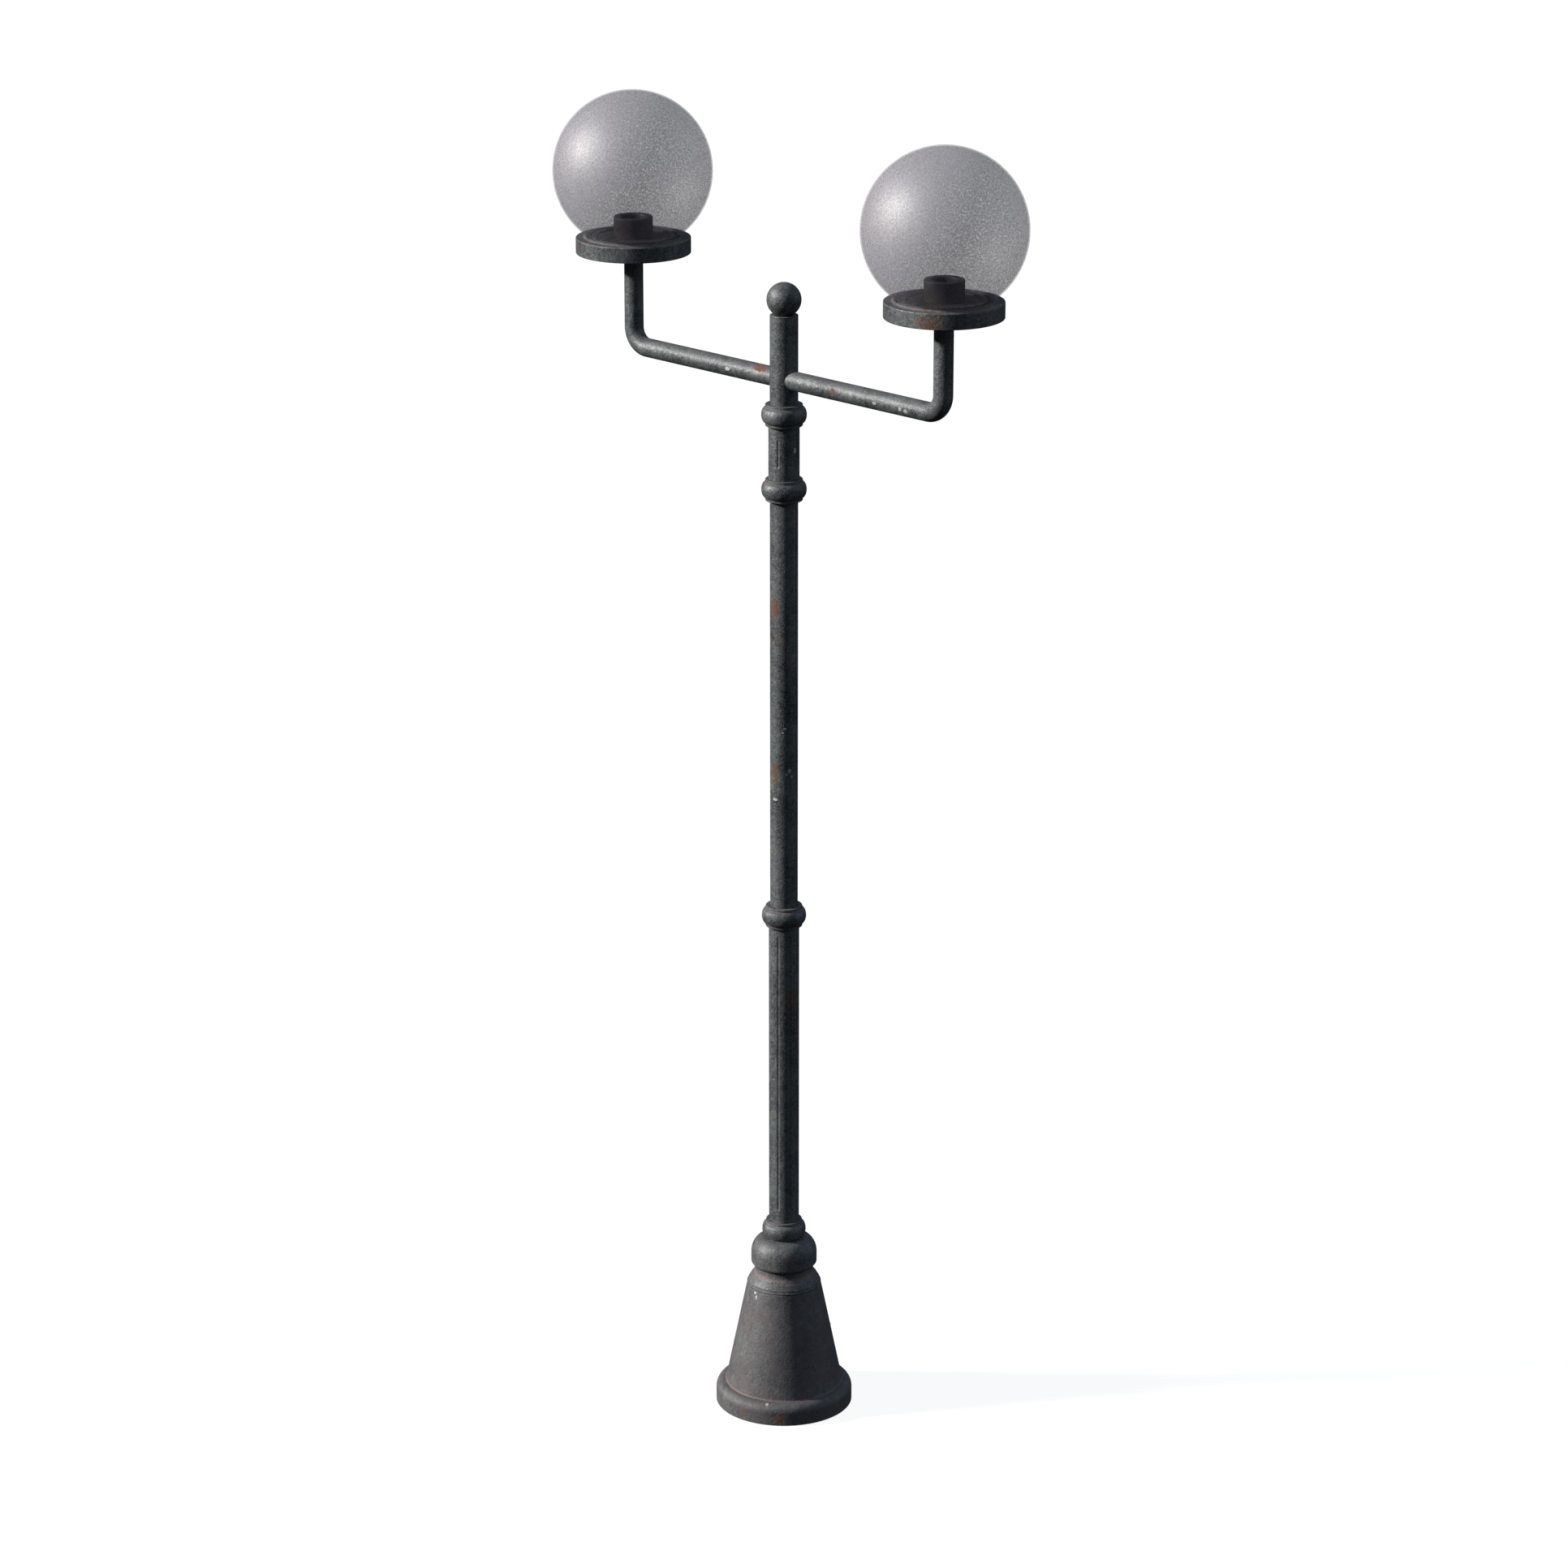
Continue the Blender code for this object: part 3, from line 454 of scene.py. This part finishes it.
def bare_chips(n, wear, mottle, speck, ragged, seed):
    """Pale chips: small clusters, rubbed sharp edges and the spots."""
    cluster = n.band(n.noise(11.0, 2.0, 0.5, offset=seed + 37), 0.655, 0.72)
    nick = n.band(n.noise(210.0, 3.0, 0.75, offset=seed + 41, distortion=0.8), 0.600, 0.655)
    rubbed = n.math("MULTIPLY", n.band(wear, 0.25, 1.0), n.band(mottle, 0.50, 0.66, 0.0, 0.22))
    chip = n.math("MAXIMUM", n.math("MULTIPLY", cluster, nick), n.math("MULTIPLY", rubbed, speck))
    knock = n.math("ADD", n.math("MULTIPLY", n.spots(CHIP_SPOTS), 0.40), n.math("MULTIPLY", ragged, 0.6))
    return n.math("MAXIMUM", chip, n.band(knock, 0.52, 0.58))


def paint_relief(n, grain, crust, seed):
    """Brushed-on paint over casting grain and pits, with rust crusted and chips sunk."""
    coarse = n.noise(120.0, 4.0, 0.60, offset=seed + 43)
    fine = n.noise(520.0, 3.0, 0.60, offset=seed + 47)
    pits = n.band(n.cells(95.0), 0.06, 0.30)
    wrinkle = n.noise(48.0, 3.0, 0.55, offset=seed + 53, distortion=0.4)
    height = n.math("ADD", n.math("MULTIPLY", coarse, 0.55), n.math("MULTIPLY", fine, 0.25))
    height = n.math("ADD", height, n.math("MULTIPLY", wrinkle, 0.9 - 0.3 * grain))
    height = n.math("ADD", height, n.math("MULTIPLY", pits, 0.12))
    return n.bump(crust, 0.6, 0.0009, n.bump(height, 0.85, 0.0024))


def weathered_paint(name, grain, dust_line=0.75, seed=2.0):
    """Old grey-black paint under brown dust, chalky patches, rust and pale chips.

    grain is how coarse the casting under the paint is, from 0 for tube to 1 for cast iron;
    below dust_line, in metres up the post, dust lies thicker.
    """
    n = Nodes(name)
    wear = n.add("ShaderNodeAttribute", attribute_name="wear").outputs["Fac"]
    sheltered = n.band(wear, -0.05, -0.9)
    ragged = n.noise(70.0, 5.0, 0.72, offset=seed + 29)
    colour, mottle, speck = paint_coat(n, seed)

    dust = settled_dust(n, sheltered, dust_line, seed)
    colour = n.mix(dust, colour, n.mix(sheltered, DUST, CREASE))
    chalk = n.band(n.noise(34.0, 5.0, 0.75, offset=seed + 59), 0.52, 0.68, 0.0, 0.34)
    colour = n.mix(chalk, colour, CHALK)

    rust = rust_blooms(n, sheltered, ragged, seed)
    tint = n.mix(n.noise(140.0, 3.0, 0.7, offset=seed + 31), RUST_DARK, RUST_LIGHT)
    colour = n.mix(n.math("MULTIPLY", rust, 0.80), colour, tint)
    chip = bare_chips(n, wear, mottle, speck, ragged, seed)
    colour = n.mix(chip, colour, PRIMER)

    crust = n.math("SUBTRACT", n.math("MULTIPLY", rust, ragged), chip)
    gloss = n.mixed(mottle, 0.39, 0.66)
    gloss = n.mixed(dust, gloss, 0.76)
    gloss = n.mixed(rust, gloss, 0.90)
    n.feed(n.shader.inputs["Metallic"], n.mixed(dust, 0.40, 0.12))
    return n.finish(colour, gloss, paint_relief(n, grain, crust, seed))


def smoked_globe(name):
    """Smoky frosted globe: a see-through grey wall with a fine speckle and a soft sheen."""
    n = Nodes(name)
    speckle = n.noise(186.0, 2.0, 0.6)
    cloud = n.noise(5.0, 3.0, 0.5)
    film = n.noise(1.0, 3.0, 0.6, where=n.stretched(16, 16, 4), offset=9)
    colour = n.mix(n.band(speckle, 0.38, 0.62), (0.073, 0.063, 0.090), (0.276, 0.252, 0.292))
    colour = n.mix(n.band(cloud, 0.35, 0.70, 0.0, 0.25), colour, (0.17, 0.15, 0.15))
    relief = n.bump(n.noise(260.0, 3.0, 0.65, offset=4), 0.55, 0.0009)
    gloss = n.math("ADD", n.band(film, 0.3, 0.7, 0.0, 0.05), 0.56)
    material = n.finish(colour, gloss, relief, metallic=0.0)
    n.feed(n.shader.inputs["Specular IOR Level"], 1.0)
    n.feed(n.shader.inputs["IOR"], 1.8)
    n.feed(n.shader.inputs["Alpha"], n.band(speckle, 0.38, 0.62, 0.235, 0.465))
    return material


def zinc(name):
    """Dull zinc plating with its flowered grain and white bloom."""
    n = Nodes(name)
    spangle = n.cells(130.0, "F1")
    haze = n.noise(34.0, 4.0, 0.6)
    colour = n.mix(n.band(spangle, 0.1, 0.8), (0.33, 0.34, 0.36), (0.52, 0.53, 0.54))
    colour = n.mix(n.band(haze, 0.50, 0.72, 0.0, 0.5), colour, (0.62, 0.62, 0.60))
    colour = n.mix(n.band(n.noise(18.0, 5.0, 0.7, offset=5), 0.60, 0.70, 0.0, 0.7), colour, RUST_LIGHT)
    relief = n.bump(n.noise(420.0, 3.0, 0.6), 0.25, 0.0003)
    return n.finish(colour, n.mixed(haze, 0.34, 0.62), relief, metallic=0.85)


def bright_metal(name, dark, light, rough):
    """Turned metal: fine rings of tool marks, tarnish blotches and handling marks."""
    n = Nodes(name)
    tarnish = n.noise(80.0, 4.0, 0.65)
    marks = n.noise(1.0, 2.0, 0.5, where=n.stretched(90, 90, 1800))
    colour = n.mix(n.band(tarnish, 0.36, 0.70), light, dark)
    relief = n.bump(marks, 0.25, 0.00012)
    gloss = n.math("ADD", n.math("MULTIPLY", tarnish, 0.25), rough)
    return n.finish(colour, gloss, relief, metallic=1.0)


def moulded_plastic(name, dark, light, gloss_low, gloss_high):
    """Moulded plastic: spark-eroded grain, slight fading and dusty film."""
    n = Nodes(name)
    fade = n.noise(22.0, 4.0, 0.6)
    film = n.noise(130.0, 3.0, 0.7, offset=3)
    colour = n.mix(n.band(fade, 0.32, 0.70), dark, light)
    colour = n.mix(n.band(film, 0.56, 0.76, 0.0, 0.25), colour, DUST)
    relief = n.bump(n.noise(760.0, 2.0, 0.6, offset=6), 0.35, 0.0003)
    return n.finish(colour, n.mixed(film, gloss_low, gloss_high), relief, metallic=0.0)


def porcelain(name):
    """Glazed white porcelain with faint crazing and grime."""
    n = Nodes(name)
    craze = n.band(n.cells(170.0, "DISTANCE_TO_EDGE"), 0.0, 0.03)
    grime = n.noise(60.0, 4.0, 0.65)
    colour = n.mix(craze, (0.50, 0.47, 0.42), (0.80, 0.79, 0.75))
    colour = n.mix(n.band(grime, 0.52, 0.75, 0.0, 0.45), colour, (0.45, 0.40, 0.33))
    relief = n.bump(craze, 0.15, 0.0002)
    return n.finish(colour, n.mixed(grime, 0.14, 0.34), relief, metallic=0.0, coat_weight=0.5)


def rubber(name):
    """Matte black rubber with a chalky bloom."""
    n = Nodes(name)
    bloom = n.noise(70.0, 4.0, 0.65)
    colour = n.mix(n.band(bloom, 0.42, 0.74), (0.018, 0.018, 0.019), (0.060, 0.060, 0.060))
    relief = n.bump(n.noise(600.0, 2.0, 0.6), 0.4, 0.0003)
    return n.finish(colour, n.mixed(bloom, 0.70, 0.92), relief, metallic=0.0)


finishes = {
    "cast_iron": weathered_paint("cast_iron_paint", grain=1.0),
    "painted_steel": weathered_paint("steel_paint", grain=0.35, seed=5.0),
    "zinc_steel": zinc("dull_zinc"),
    "stainless": bright_metal("stainless_steel", (0.38, 0.38, 0.37), (0.62, 0.62, 0.61), 0.18),
    "brass": bright_metal("dull_brass", (0.30, 0.20, 0.08), (0.66, 0.49, 0.22), 0.20),
    "rubber": rubber("black_rubber"),
    "dark_plastic": moulded_plastic(
        "phenolic", (0.052, 0.047, 0.050), (0.100, 0.092, 0.095), 0.42, 0.66
    ),
    "grey_plastic": moulded_plastic("grey_housing", (0.36, 0.37, 0.37), (0.50, 0.51, 0.51), 0.38, 0.60),
    "porcelain": porcelain("glazed_porcelain"),
    "smoked_glass": smoked_globe("smoked_frosted_globe"),
}


# ---- Camera, light and floor ----
def make_camera():
    """Looks down on the post from the front right, a long way off with a long lens."""
    distance, height = 14.1986, 6.7672
    turn, drop = math.radians(44.808), math.radians(18.146)
    data = bpy.data.cameras.new("camera")
    data.sensor_width = 36.0
    data.lens = 109.20
    data.clip_end = 400.0
    camera = bpy.data.objects.new("camera", data)
    camera.location = (distance * math.sin(turn), -distance * math.cos(turn), height)
    camera.rotation_euler = (math.pi / 2 - drop, 0.0, turn)
    bpy.context.scene.collection.objects.link(camera)
    bpy.context.scene.camera = camera


def make_sun(name, azimuth, elevation, strength, spread, colour):
    """Sunlight from an azimuth, 0 being from -Y and 90 from +X, as a soft disc."""
    data = bpy.data.lights.new(name, "SUN")
    data.energy = strength
    data.angle = math.radians(spread)
    data.color = colour
    sun = bpy.data.objects.new(name, data)
    a, e = math.radians(azimuth), math.radians(elevation)
    source = Vector((math.sin(a) * math.cos(e), -math.cos(a) * math.cos(e), math.sin(e)))
    sun.rotation_mode = "QUATERNION"
    sun.rotation_quaternion = source.to_track_quat("Z", "Y")
    bpy.context.scene.collection.objects.link(sun)
    return sun


def make_stage():
    """A wide pale floor under the post, an even sky for fill and one soft key light."""
    mesh = bpy.data.meshes.new("floor")
    half, level = 90.0, cad_box[0].z - 0.001
    corners = [(-half, -half), (half, -half), (half, half), (-half, half)]
    mesh.from_pydata([(x, y, level) for x, y in corners], [], [(0, 1, 2, 3)])
    n = Nodes("pale_floor")
    n.feed(n.shader.inputs["Base Color"], (0.12, 0.12, 0.12, 1.0))
    n.feed(n.shader.inputs["Roughness"], 0.9)
    n.feed(n.shader.inputs["Specular IOR Level"], 0.0)
    n.feed(n.shader.inputs["Emission Color"], (1.0, 1.0, 1.0, 1.0))
    n.feed(n.shader.inputs["Emission Strength"], 0.92)
    mesh.materials.append(n.material)
    floor = add_piece(mesh, "floor")
    floor.visible_diffuse = False
    floor.visible_glossy = False
    floor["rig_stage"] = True

    world = bpy.data.worlds.new("studio")
    world.use_nodes = True
    tree = world.node_tree
    way = tree.nodes.new("ShaderNodeTexCoord")
    split = tree.nodes.new("ShaderNodeSeparateXYZ")
    climb = tree.nodes.new("ShaderNodeMapRange")
    climb.inputs["From Min"].default_value = -1.0
    sky = tree.nodes.new("ShaderNodeValToRGB")
    sky.color_ramp.elements.remove(sky.color_ramp.elements[0])
    for share, colour in SKY:
        stop = sky.color_ramp.elements.new(share)
        stop.color = (*colour, 1.0)
    sky.color_ramp.elements.remove(sky.color_ramp.elements[-1])
    fill = tree.nodes["Background"]
    pale = tree.nodes.new("ShaderNodeBackground")
    pale.inputs["Color"].default_value = (1.0, 1.0, 1.0, 1.0)
    seen = tree.nodes.new("ShaderNodeLightPath")
    blend = tree.nodes.new("ShaderNodeMixShader")
    for start, end in (
        (way.outputs["Generated"], split.inputs[0]),
        (split.outputs["Z"], climb.inputs["Value"]),
        (climb.outputs["Result"], sky.inputs["Fac"]),
        (sky.outputs["Color"], fill.inputs["Color"]),
        (seen.outputs["Is Camera Ray"], blend.inputs["Fac"]),
        (fill.outputs[0], blend.inputs[1]),
        (pale.outputs[0], blend.inputs[2]),
        (blend.outputs[0], tree.nodes["World Output"].inputs["Surface"]),
    ):
        tree.links.new(start, end)
    bpy.context.scene.world = world
    make_sun("key", azimuth=-40.0, elevation=25.5, strength=6.3, spread=5.0, colour=(1.0, 0.970, 0.93))
    make_sun("rim", azimuth=132.0, elevation=22.0, strength=0.32, spread=40.0, colour=(0.80, 0.90, 1.0))


# ---- Post ----
def fluted_tube(name, node, bore, start, end):
    """A tube whose flutes run from start to end; rows are close only at the flutes' ends."""
    foot, head, _ = span(node)
    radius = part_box(node)[1].x
    rise = FLUTE_HALF_WIDTH * 1.6
    heights = [foot]
    for low, high, count in ((start - 0.001, start + rise, 14), (end - rise, end + 0.001, 14)):
        heights += [low + (high - low) * i / count for i in range(count + 1)]
    heights.append(head)
    outline = [(radius, z) for z in heights] + [(bore, head), (bore, foot)]
    step = math.tau / FLUTES

    def relief(angle, r, z):
        if r < radius - 1e-6:
            return 0.0
        off = abs((angle % step) - step / 2) * r
        if z < start + FLUTE_HALF_WIDTH:
            off = math.hypot(off, start + FLUTE_HALF_WIDTH - z)
        if z > end - FLUTE_HALF_WIDTH:
            off = math.hypot(off, z - end + FLUTE_HALF_WIDTH)
        share = max(0.0, 1.0 - (off / FLUTE_HALF_WIDTH) ** 2)
        return -FLUTE_DEPTH * share

    tube = turned(name, outline, sides=FLUTES * 40, relief=relief)
    return stand_in(tube, node)


def collar_side(middle, half, bulge):
    """Outside of a collar from foot to head: a ring, a bulge with a crease each side, a ring."""
    crease = COLLAR_RING - 0.0012
    swell = arc((crease, middle), (bulge - crease, BULGE_HALF), -78, 78, 20)
    ledge = BULGE_HALF + 0.0010
    below = [(COLLAR_RING, middle - half, 0.0020), (COLLAR_RING, middle - ledge, 0.0006)]
    above = [(COLLAR_RING, middle + ledge, 0.0006), (COLLAR_RING, middle + half, 0.0020)]
    return below + swell + above


def make_collars():
    for node in ("lower_collar", "middle_collar", "upper_collar"):
        foot, head, bulge = span(node)
        middle, half = (foot + head) / 2, (head - foot) / 2
        side = collar_side(middle, half, bulge)
        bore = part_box("neck_sleeve")[1].x + COLLAR_GAP
        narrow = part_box("upper_shaft")[1].x + COLLAR_GAP
        top, bottom = (bore, narrow) if node == "middle_collar" else (narrow, bore)
        inside = [(top, head, CHIP), (top, middle), (bottom, middle), (bottom, foot, CHIP)]
        stand_in(turned(node + "_fine", side + inside), node)


def make_shafts():
    urn_top = span("base_urn")[1]
    collar_foot = span("lower_collar")[0]
    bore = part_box("upper_shaft")[1].x + TUBE_GAP
    fluted_tube("lower_shaft_fine", "lower_shaft", bore, urn_top + 0.044, collar_foot - 0.025)
    low, high = span("middle_collar")[1], span("upper_collar")[0]
    fluted_tube("neck_sleeve_fine", "neck_sleeve", bore, low + 0.042, high - 0.037)
    for node in ("upper_shaft", "head_tube"):
        foot, head, _ = span(node)
        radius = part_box(node)[1].x
        outline = [(radius, foot), (radius, head), (SHAFT_BORE, head), (SHAFT_BORE, foot)]
        stand_in(turned(node + "_fine", outline), node)


def pedestal_side():
    """Outside of the pedestal from the ground to its neck inside the urn."""
    flange = [(0.2213, 0.0, 0.0008)] + arc((0.1935, 0.0414), (0.0278, 0.0291), 0, 90, 18)
    foot_cove = [(0.1902, 0.0712, 0.0012), (CONE_BOTTOM[0], CONE_BOTTOM[1] + 0.001, 0.0030)]
    groove = [(0.1198, 0.4125, 0.0006), (0.1170, 0.4135), (0.1170, 0.4156)]
    lip = [(0.1200, 0.4163, 0.0006), (0.1198, 0.4178, 0.0004), (0.1168, 0.4204)]
    shoulder = [(0.1160, 0.4262, 0.0030), (0.1104, 0.4350), (0.1076, 0.4405, 0.0022)]
    cove = [(0.1006, 0.4475), (0.0962, 0.4560, 0.0080)]
    return flange + foot_cove + groove + lip + shoulder + cove + [(NECK_SEAT, 0.4660)]


def cone_radius(z):
    share = (z - CONE_BOTTOM[1]) / (CONE_TOP[1] - CONE_BOTTOM[1])
    return CONE_BOTTOM[0] + share * (CONE_TOP[0] - CONE_BOTTOM[0])


def tilt():
    """Turns Z onto the leaning hinge line."""
    return Vector((0, 0, 1)).rotation_difference(HINGE_LEAN).to_matrix().to_4x4()


def door_block(slack):
    """The door's rounded outline, grown by slack, carried through the wall square to the hinge."""
    foot, head = (Vector((0, cone_radius(z), z)) for z in (DOOR_FOOT, DOOR_HEAD))
    half, corner = DOOR_HALF_WIDTH + slack, DOOR_CORNER + slack
    tall = (head - foot).dot(HINGE_LEAN) + slack
    outline = []
    for x, z, start in (
        (half - corner, tall - corner, 0),
        (corner - half, tall - corner, 90),
        (corner - half, corner - slack, 180),
        (half - corner, corner - slack, 270),
    ):
        outline += arc((x, z), corner, start, start + 90, 8)
    block = prism(outline, 0.15)
    return moved(block, Matrix.Translation(foot) @ tilt() @ Matrix.Translation((0, -0.08, 0)))


def hinge_point(step):
    """Frame on the hinge line, this far above the lower hinge."""
    return Matrix.Translation(HINGE_FOOT + HINGE_LEAN * (step / HINGE_LEAN.z)) @ tilt()


def add_lugs(piece, end, web):
    """Joins a knuckle on its web at both hinges, then bores them for the pins.

    end is 1 for the knuckle above the parting line and -1 for the one below it.
    """
    radius, half = KNUCKLE
    low, high = sorted((PARTING * end, half * end))
    for step in (0.0, HINGE_STEP):
        at = hinge_point(step)
        barrel = [(0.0, low), (radius, low, 0.0005), (radius, high, 0.0005), (0.0, high)]
        boolean(piece, moved(turned("knuckle", barrel, sides=40, closed=False), at), "UNION")
        x0, x1, y0, y1 = web
        foot, head = low + 0.0008, high - 0.0008
        plate = prism([(x0, foot), (x1, foot), (x1, head), (x0, head)], y1 - y0)
        boolean(piece, moved(plate, at @ Matrix.Translation((0, y0, 0))), "UNION")
        bore = [(0.0, -0.03), (PIN_BORE, -0.03), (PIN_BORE, 0.03), (0.0, 0.03)]
        boolean(piece, moved(turned("bore", bore, sides=24, closed=False), at), "DIFFERENCE")


def make_door():
    """The piece of the cone inside the opening, with the lock's boss and its hinge lugs."""
    outer, inner = ([(cone_radius(z) - depth, z) for z in (0.09, 0.35)] for depth in (0.0, WALL))
    door = turned("base_door_fine", outer + inner[::-1], sides=160)
    boolean(door, door_block(0.0), "INTERSECT")
    x, back, z = LOCK
    face = LOCK_FACE - back
    rings = [(0.0, 0.0), (LOCK_BOSS, 0.0), (LOCK_BOSS, face, CHIP), (0.0, face)]
    boss = turned("boss", rings, sides=48, closed=False)
    along_y = Matrix.Translation((x, back, z)) @ Matrix.Rotation(-math.pi / 2, 4, "X")
    boolean(door, moved(boss, along_y), "UNION")
    bore = [(0.0, -0.01), (LOCK_BORE, -0.01), (LOCK_BORE, 0.05), (0.0, 0.05)]
    boolean(door, moved(turned("bore", bore, sides=32, closed=False), along_y), "DIFFERENCE")
    add_lugs(door, 1, DOOR_WEB)
    stand_in(door, "base_door", "door")


def make_pedestal():
    top = span("base_pedestal")[1]
    inside = [
        (NECK_SEAT, top),
        (NECK_SEAT - WALL, top),
        (NECK_SEAT - WALL, 0.4560),
        (CONE_TOP[0] - WALL, 0.4200),
        (CONE_BOTTOM[0] - WALL, 0.0730),
        (0.1835, 0.0620),
        (0.2113, 0.0400),
        (0.2113, 0.0),
    ]
    pedestal = turned("base_pedestal_fine", pedestal_side() + inside, sides=128)
    boolean(pedestal, door_block(DOOR_GAP), "DIFFERENCE")
    add_lugs(pedestal, -1, PEDESTAL_WEB)
    stand_in(pedestal, "base_pedestal")


def make_urn():
    foot, head, _ = span("base_urn")
    neck, belly = 0.0597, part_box("base_urn")[1].x
    half = (span("lower_collar")[1] - span("lower_collar")[0]) / 2
    shoulder = arc((neck, 0.5210), (belly - neck, 0.0552), 0, 88, 20)
    side = [(0.0968, foot - 0.0042, 0.0030), (belly, foot + 0.0072, 0.0060)]
    collar = collar_side(head - half, half, span("lower_collar")[2])
    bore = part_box("lower_shaft")[1].x + SEAT_GAP
    inner = [
        (bore, head, CHIP),
        (bore, 0.5720),
        (0.0580, 0.5640),
        (0.0840, 0.5480),
        (0.0860, 0.5145),
        (NECK_SEAT + NECK_GAP, 0.5145),
        (NECK_SEAT + NECK_GAP, foot - 0.0042),
    ]
    outline = side + shoulder + [(neck - 0.001, 0.5770)] + collar[2:] + inner
    stand_in(turned("base_urn_fine", outline, sides=112), "base_urn")


def make_head():
    foot, head, _ = span("post_cap")
    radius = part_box("post_cap")[1].x
    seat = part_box("head_tube")[1].z
    cap = [
        (radius, seat + SEAT_GAP, 0.0003),
        (radius, head, 0.0022),
        (0.030, head, 0.004),
        (0.014, head - 0.0070),
        (0.0085, head - 0.0070),
        (0.0085, foot),
        (0.0390, foot),
        (0.0390, seat + SEAT_GAP),
    ]
    stand_in(turned("post_cap_fine", cap), "post_cap")
    low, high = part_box("ball_finial")
    ball_radius = high.x
    middle = high.z - ball_radius
    profile = [(0.0, low.z), (0.008, low.z)]
    bottom = math.degrees(math.acos(0.008 / ball_radius))
    profile += arc((0.0, middle), ball_radius, -bottom, 89.9, 40)
    stand_in(turned("ball_finial_fine", profile, sides=64, closed=False), "ball_finial")


def make_arm(node, side):
    """A bent tube from the head tube out and up into its pan."""
    low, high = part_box(node)
    radius = high.y
    axis_z = low.z + radius
    reach = (high.x if side > 0 else -low.x) - radius
    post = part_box("head_tube")[1].x
    straight = (post * 0.62, 0.10, reach - ARM_BEND - 0.001)
    path = [(x, axis_z, 0.0) for x in straight]
    for i in range(25):
        turn = math.radians(90 * i / 24)
        x = reach - ARM_BEND + ARM_BEND * math.sin(turn)
        path.append((x, axis_z + ARM_BEND * (1 - math.cos(turn)), turn))
    path.append((reach, high.z, math.pi / 2))
    sides = 48
    verts, faces = [], []
    for wall in (radius, ARM_BORE):
        stations = path if wall == radius else path[::-1]
        for x, z, turn in stations:
            for k in range(sides):
                angle = math.tau * k / sides
                lift = wall * math.cos(angle)
                px = x - math.sin(turn) * lift
                verts.append((side * px, side * wall * math.sin(angle), z + math.cos(turn) * lift))
    rows = 2 * len(path)
    for i in range(rows):
        j = (i + 1) % rows
        for k in range(sides):
            m = (k + 1) % sides
            faces.append((i * sides + k, i * sides + m, j * sides + m, j * sides + k))
    mesh = bpy.data.meshes.new(node + "_fine")
    mesh.from_pydata(verts, [], faces)
    mesh.update()
    store_wear(mesh, [0.0] * len(verts))
    bm = bmesh.new()
    bm.from_mesh(mesh)
    bmesh.ops.recalc_face_normals(bm, faces=bm.faces)
    bm.to_mesh(mesh)
    bm.free()
    shade(mesh, 40)
    return stand_in(add_piece(mesh, node + "_fine"), node)


# ---- Lamps ----
def make_pan(name):
    node = name + "_pan"
    low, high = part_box(node)
    x = (low.x + high.x) / 2
    rim, foot, plateau = high.y, low.z, high.z
    top = plateau - 0.005
    recess = plateau - 0.004
    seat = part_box(name + "_gasket")[0].z - SEAT_GAP
    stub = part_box(name + "_arm")[1].z
    outline = [
        (rim, foot, 0.0016),
        (rim, top, 0.0026),
        (0.1555, top, 0.0025),
        (0.1500, plateau, 0.0018),
        (0.1455, plateau, 0.0006),
        (0.1455, seat, 0.0006),
        (0.1280, seat, 0.0006),
        (0.1280, plateau, 0.0012),
        (0.1150, plateau, 0.0025),
        (0.1110, recess, 0.0030),
        (0.0125, recess),
        (0.0125, stub + TUBE_GAP),
        (0.0305, stub + TUBE_GAP),
        (0.0305, foot + 0.0030, 0.0008),
        (0.0420, foot + 0.0030, 0.0020),
        (0.0420, seat - 0.006, 0.0030),
        (rim - 0.006, seat - 0.006, 0.0030),
        (rim - 0.006, foot, 0.0012),
    ]
    stand_in(turned(node + "_fine", outline, sides=128, x=x), node)


def make_cup(name):
    node = name + "_lampholder_cup"
    low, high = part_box(node)
    x = (low.x + high.x) / 2
    outer, foot, head = high.y, low.z, high.z
    floor = head - 0.045
    outline = [
        (outer, foot, 0.0006),
        (outer, head, 0.0030),
        (0.0400, head, 0.0030),
        (0.0380, head - 0.0040, 0.0010),
        (0.0380, floor, 0.0020),
        (0.0100, floor),
        (0.0100, foot),
    ]
    stand_in(turned(node + "_fine", outline, x=x), node)


def make_globe(name):
    node = name + "_globe"
    low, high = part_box(node)
    x = (low.x + high.x) / 2
    radius = high.y
    middle = high.z - radius
    outer_foot = -math.degrees(math.acos(GLOBE_NECK / radius))
    inner = radius - GLOBE_WALL
    inner_neck = GLOBE_NECK - GLOBE_WALL
    inner_foot = -math.degrees(math.acos(inner_neck / inner))
    lip = [(GLOBE_NECK, low.z, CHIP), (inner_neck, low.z, CHIP)]
    outside = arc((0.0, middle), radius, 89.95, outer_foot, 72)
    inside = arc((0.0, middle), inner, inner_foot, 89.95, 72)
    globe = turned(node + "_fine", outside + lip + inside, sides=144, closed=False, x=x)
    stand_in(globe, node, node)


# ---- Assembly ----
make_camera()
make_stage()
make_pedestal()
make_door()
make_urn()
make_shafts()
make_collars()
make_head()
for lamp, hand in zip(LAMPS, (-1, 1)):
    make_arm(lamp + "_arm", hand)
    make_pan(lamp)
    make_cup(lamp)
    make_globe(lamp)

for node_name, node_object in frame["nodes"].items():
    node_object.data.materials.clear()
    node_object.data.materials.append(finishes[slot_of[node_name]])
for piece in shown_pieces():
    slot = piece.get("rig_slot")
    if slot:
        piece.data.materials.clear()
        piece.data.materials.append(finishes[slot])

bpy.context.scene.view_settings.view_transform = "Standard"
